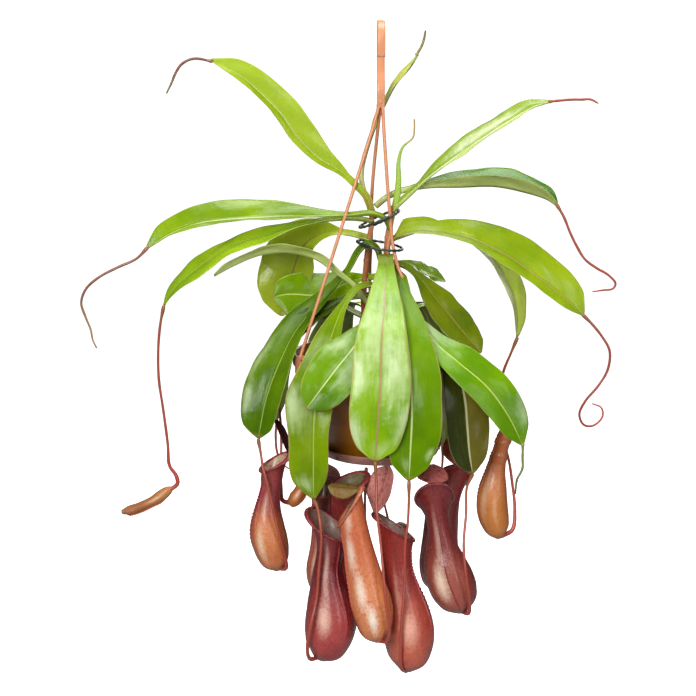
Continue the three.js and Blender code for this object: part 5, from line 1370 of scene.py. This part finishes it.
def add_clip(shape, turn, kind):
    """The clip at a strand's end: over the lip, down the collar and a toe under it."""
    inner = POT["rim_radius"] - CLIP["lip_reach"]
    face = POT["rim_radius"] + CLIP["gap"]
    outer = face + CLIP["thickness"]
    seat = POT["rim_top"] + CLIP["gap"]
    toe_top = POT["rim_top"] - POT["collar_drop"] - CLIP["gap"]
    toe = toe_top - CLIP["toe_thickness"]
    half = CLIP["width"] / 2
    for xs, zs in (
        ((inner, outer), (seat, seat + CLIP["thickness"])),
        ((face, outer), (toe, seat + 0.2)),
        ((face - CLIP["toe_reach"], face + 0.2), (toe, toe_top)),
    ):
        add_box(shape, xs, (-half, half), zs, turn, kind)


# points up each stem, then its radius at the foot and at the top
STEMS = {
    "stem_main": [
        ([(3, 8, -292), (4, 7, -255), (4, 5, -218), (5, 2, -182), (6, 0, -167), (8, -1, -154),
          (10, -1, -142)], 3.4, 2.4),
        ([(9, -2, -292), (9, -2, -255), (8, -3, -216), (6, -5, -185), (6, -5, -173), (8, -3, -163),
          (8, -1, -156)], 2.4, 1.8),
    ],
    "stem_left": [
        ([(-11, 18, -292), (-11, 17, -258), (-13, 13, -219), (-11, 9, -188), (-9, 5, -169), (-7, 2, -157),
          (-7, 0, -147)], 2.6, 2),
    ],
}


class BuildStems(bpy.types.Operator):
    """The climbing stems, with a ring at each leaf scar."""

    bl_idname = "plant.build_stems"
    bl_label = "Stems"

    def execute(self, context):
        bark = tendril_material("stem_skin", "#5A3020", "#A45E3C", "#D88E60")
        for name, stems in STEMS.items():
            shape = Shape()
            for k, (points, low, high) in enumerate(stems):

                def radius(s, low=low, high=high, k=k):
                    scar = math.exp(-(((s * 9 + k * 0.4) % 1 - 0.5) / 0.06) ** 2)
                    return low + (high - low) * s + 0.45 * scar

                add_tube(shape, Path(points), radius, sides=20, rings=180)
            place(shape.build(f"{name}_skin", [bark]), "stem", name)
        return {"FINISHED"}


TIES = [
    dict(name="tie_lower", centre=(0, 0.5, -174), half_x=16.5, half_y=17, tilt=-0.15, start=200),
    dict(name="tie_upper", centre=(-0.5, 0, -152.5), half_x=14.5, half_y=15, tilt=0.45, start=250),
]


def wire_radius(share):
    """The radius of a tie at a share of its length: a wire in a wavy sleeve."""
    return TIE["radius"] * (1.15 + 0.2 * math.sin(share * 150))


class BuildTies(bpy.types.Operator):
    """The wire ties that hold the stems together."""

    bl_idname = "plant.build_ties"
    bl_label = "Wire ties"

    def execute(self, context):
        wire = plain_material("tie_wire", "#1E2A22", "#3A4A3E", 0.35)
        for tie in TIES:
            points = []
            for share in np.linspace(0, 1, 23):
                turn = share * TIE["turns"]
                angle = math.radians(tie["start"]) + turn * 2 * math.pi
                spread = 1 + TIE["spread"] * turn
                x = math.cos(angle) * tie["half_x"] * spread
                y = math.sin(angle) * tie["half_y"] * spread
                cx, cy, cz = tie["centre"]
                points.append((cx + x, cy + y, cz + x * tie["tilt"] + turn * TIE["pitch"]))
            shape = Shape()
            add_tube(shape, Path(points), wire_radius, rings=240)
            place(shape.build(f"{tie['name']}_wire", [wire]), "tie", tie["name"])
        return {"FINISHED"}


# the youngest leaf, still rolled: its middle line and its radius at the foot and at the tip
ROLLED_LEAF = [(11, -1, -145), (13, -2, -133), (14, -3, -121), (14, -4, -106), (17, -5, -95), (25, -6, -87),
               (26, -6, -81), (26, -6, -73)]
ROLLED_RADII = (2.9, 0.7)


class BuildLeaves(bpy.types.Operator):
    """Every leaf, with its tendril where it ends in one of its own."""

    bl_idname = "plant.build_leaves"
    bl_label = "Leaves"

    def execute(self, context):
        settings = context.scene.plant
        for seed, leaf in enumerate(LEAVES):
            name = leaf["name"]
            look = {**LEAF_LOOK, **LEAF_LOOKS.get(name, {})}
            shape = Shape()
            add_blade(shape, leaf, seed, settings.blade_rows)
            materials = [leaf_material(f"{name}_upper", look, "top", settings.leaf_gloss),
                         leaf_material(f"{name}_lower", look, "under", settings.leaf_gloss)]
            if "tendril" in leaf:
                add_tendril(shape, leaf["tendril"], TENDRIL["free_end"], 2, seed)
                colours = LEAF_TENDRIL_COLOURS.get(name, TENDRIL_COLOURS)
                materials.append(tendril_material(f"{name}_tendril", *colours))
            place(shape.build(f"{name}_blade", materials), "leaf", name)

        def radius(s):
            low, high = ROLLED_RADII
            return low + (high - low) * float(smoothstep(s, 0, 0.9))

        def spiral(shares, turn):
            return 1 + 0.22 * np.exp(-((turn - 2.2) / 0.25) ** 2) - 0.18 * np.exp(-((turn - 2.9) / 0.2) ** 2)

        shape = Shape()
        add_tube(shape, Path(ROLLED_LEAF), radius, sides=28, rings=120, profile=spiral)
        skin = tendril_material("leaf_rolled_skin", "#9ABF3A", "#A8CC50", "#B8905A")
        place(shape.build("leaf_rolled_blade", [skin]), "leaf", "leaf_rolled")
        return {"FINISHED"}


class BuildPitchers(bpy.types.Operator):
    """Every pitcher with its tendril, and its lid where it has opened."""

    bl_idname = "plant.build_pitchers"
    bl_label = "Pitchers"

    def execute(self, context):
        for seed, pitcher in enumerate(PITCHERS):
            name = pitcher["name"]
            amber = pitcher.get("amber", False)
            look = {**(AMBER if amber else WINE), **PITCHER_LOOKS.get(name, {})}
            look["ribs"] = context.scene.plant.cup_rib_count
            shape = Shape()
            cup = Cup(pitcher, seed)
            add_cup(shape, cup, pitcher.get("closed", False))
            add_tendril(shape, pitcher["tendril"], TENDRIL["pitcher_end"], 3, seed)
            if "lid" in pitcher:
                lid = lid_blade(cup, pitcher["lid"])
                add_blade(shape, lid, seed, rows=40, half_columns=8, kinds=(4, 4), thin=0.9)
            parts = [
                pitcher_material(f"{name}_body", look, cup_skin, cup.turn_toward(LIGHT_SIDE)),
                pitcher_material(f"{name}_lip", look, cup_lip),
                pitcher_material(f"{name}_inside", look, cup_inside),
                tendril_material(f"{name}_tendril", *TENDRIL_COLOURS),
                pitcher_material(f"{name}_lid", look, cup_lid, dull=LID_DULL),
            ]
            place(shape.build(f"{name}_cup", parts), "orange_pitcher" if amber else "dark_pitcher", name)
        return {"FINISHED"}


# the paper's sweep, in mm: half its breadth, where it starts in front and bends up, the bend, and its height;
# then its shade, and its shade as the camera sees it
PAPER = dict(half=6000, front=-3000, reach=4200, bend=1200, top=6000, shade=0.3, seen_shade=0.9)
# place in metres, breadth and height in metres, and share of the key light's power
LAMPS = {
    "key": ((-0.6, -1.8, 0.6), 0.7, 1.2, 1.0),
    "fill": ((1.1, -1.6, 0.1), 0.4, 1.4, 0.24),
    "top": ((0.1, 0.1, 1.3), 1.0, 1.0, 0.7),
    "behind": ((0.5, 1.8, 0.3), 1.0, 1.2, 0.4),
}
# the point that the camera and the lamps look at, in metres, and how the camera sees it
VIEW = dict(middle=(-0.0256, 0, -0.256), rise=12, lens=99.57, clip_start=0.05)


class BuildStudio(bpy.types.Operator):
    """Floor, backdrop, soft light and camera."""

    bl_idname = "plant.build_studio"
    bl_label = "Studio"

    def execute(self, context):
        settings = context.scene.plant_studio
        self.lay_paper(settings)
        self.fill_sky(context.scene, settings)
        middle = Vector(VIEW["middle"])
        for name, (place_at, wide, tall, share) in LAMPS.items():
            light = bpy.data.lights.new(name, "AREA")
            light.energy = settings.key_power * share
            light.shape = "RECTANGLE"
            light.size = wide
            light.size_y = tall
            lamp = bpy.data.objects.new(name, light)
            lamp.location = place_at
            lamp.visible_camera = False
            lamp.rotation_euler = (middle - lamp.location).to_track_quat("-Z", "Y").to_euler()
            context.scene.collection.objects.link(lamp)
        rise = math.radians(VIEW["rise"])
        data = bpy.data.cameras.new("view")
        data.lens = VIEW["lens"]
        data.clip_start = VIEW["clip_start"]
        camera = bpy.data.objects.new("view", data)
        camera.location = middle + settings.view_distance * Vector((0, -math.cos(rise), math.sin(rise)))
        camera.rotation_euler = (math.radians(90) - rise, 0, 0)
        context.scene.collection.objects.link(camera)
        context.scene.camera = camera
        context.scene.view_settings.view_transform = "Standard"
        return {"FINISHED"}

    def lay_paper(self, settings):
        """A sheet that runs along the floor and up behind, bright to the camera alone."""
        reach, bend = PAPER["reach"], PAPER["bend"]
        turns = np.linspace(0, math.pi / 2, 24)
        curve = [(reach + bend * math.sin(a), bend * (1 - math.cos(a))) for a in turns]
        sweep = [(PAPER["front"], 0), *curve, (reach + bend, PAPER["top"])]
        drop = settings.floor_drop / MM
        cloud = [(x, y, z - drop) for y, z in sweep for x in (PAPER["half"], -PAPER["half"])]
        shape = Shape()
        shape.add(cloud, [(2 * k, 2 * k + 1, 2 * k + 3, 2 * k + 2) for k in range(len(sweep) - 1)])
        n = Nodes("studio_paper")
        seen = n.new("ShaderNodeLightPath").outputs["Is Camera Ray"]
        grey, pale = tone((1, 1, 1), PAPER["shade"]), tone((1, 1, 1), PAPER["seen_shade"])
        n.set(Base_Color=n.mix(seen, grey, pale), Roughness=0.95, Specular_IOR_Level=0.0)
        n.set(Emission_Color=(1, 1, 1, 1), Emission_Strength=n.math("MULTIPLY", seen, settings.paper_glow))
        shape.build("studio_sweep", [n.material])

    def fill_sky(self, scene, settings):
        """An even white light, as bright as the paper to the camera alone."""
        world = bpy.data.worlds.new("studio_world")
        world.use_nodes = True
        tree = world.node_tree
        sky = tree.nodes["Background"]
        sky.inputs["Color"].default_value = (1, 1, 1, 1)
        seen = tree.nodes.new("ShaderNodeLightPath").outputs["Is Camera Ray"]
        glow = tree.nodes.new("ShaderNodeMapRange")
        glow.inputs["To Min"].default_value = settings.sky
        glow.inputs["To Max"].default_value = settings.paper_glow
        tree.links.new(seen, glow.inputs["Value"])
        tree.links.new(glow.outputs["Result"], sky.inputs["Strength"])
        scene.world = world


class PlantPanel(bpy.types.Panel):
    """Lists the builders in the sidebar."""

    bl_idname = "VIEW3D_PT_plant"
    bl_label = "Hanging pitcher plant"
    bl_space_type = "VIEW_3D"
    bl_region_type = "UI"
    bl_category = "Plant"

    def draw(self, context):
        for builder in BUILDERS:
            self.layout.operator(builder.bl_idname, text=builder.bl_label)
        for group in (context.scene.plant, context.scene.plant_studio):
            for name in group.__annotations__:
                self.layout.prop(group, name)


BUILDERS = (BuildPot, BuildSaucer, BuildSoil, BuildHanger, BuildStems, BuildTies, BuildLeaves, BuildPitchers,
            BuildStudio)
CLASSES = (PlantSettings, StudioSettings, *BUILDERS, PlantPanel)


def register():
    for cls in CLASSES:
        bpy.utils.register_class(cls)
    bpy.types.Scene.plant = bpy.props.PointerProperty(type=PlantSettings)
    bpy.types.Scene.plant_studio = bpy.props.PointerProperty(type=StudioSettings)


def unregister():
    del bpy.types.Scene.plant_studio
    del bpy.types.Scene.plant
    for cls in reversed(CLASSES):
        bpy.utils.unregister_class(cls)


def main():
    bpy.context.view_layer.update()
    register()
    for builder in BUILDERS:
        group, action = builder.bl_idname.split(".")
        getattr(getattr(bpy.ops, group), action)()


if __name__ == "__main__":
    main()
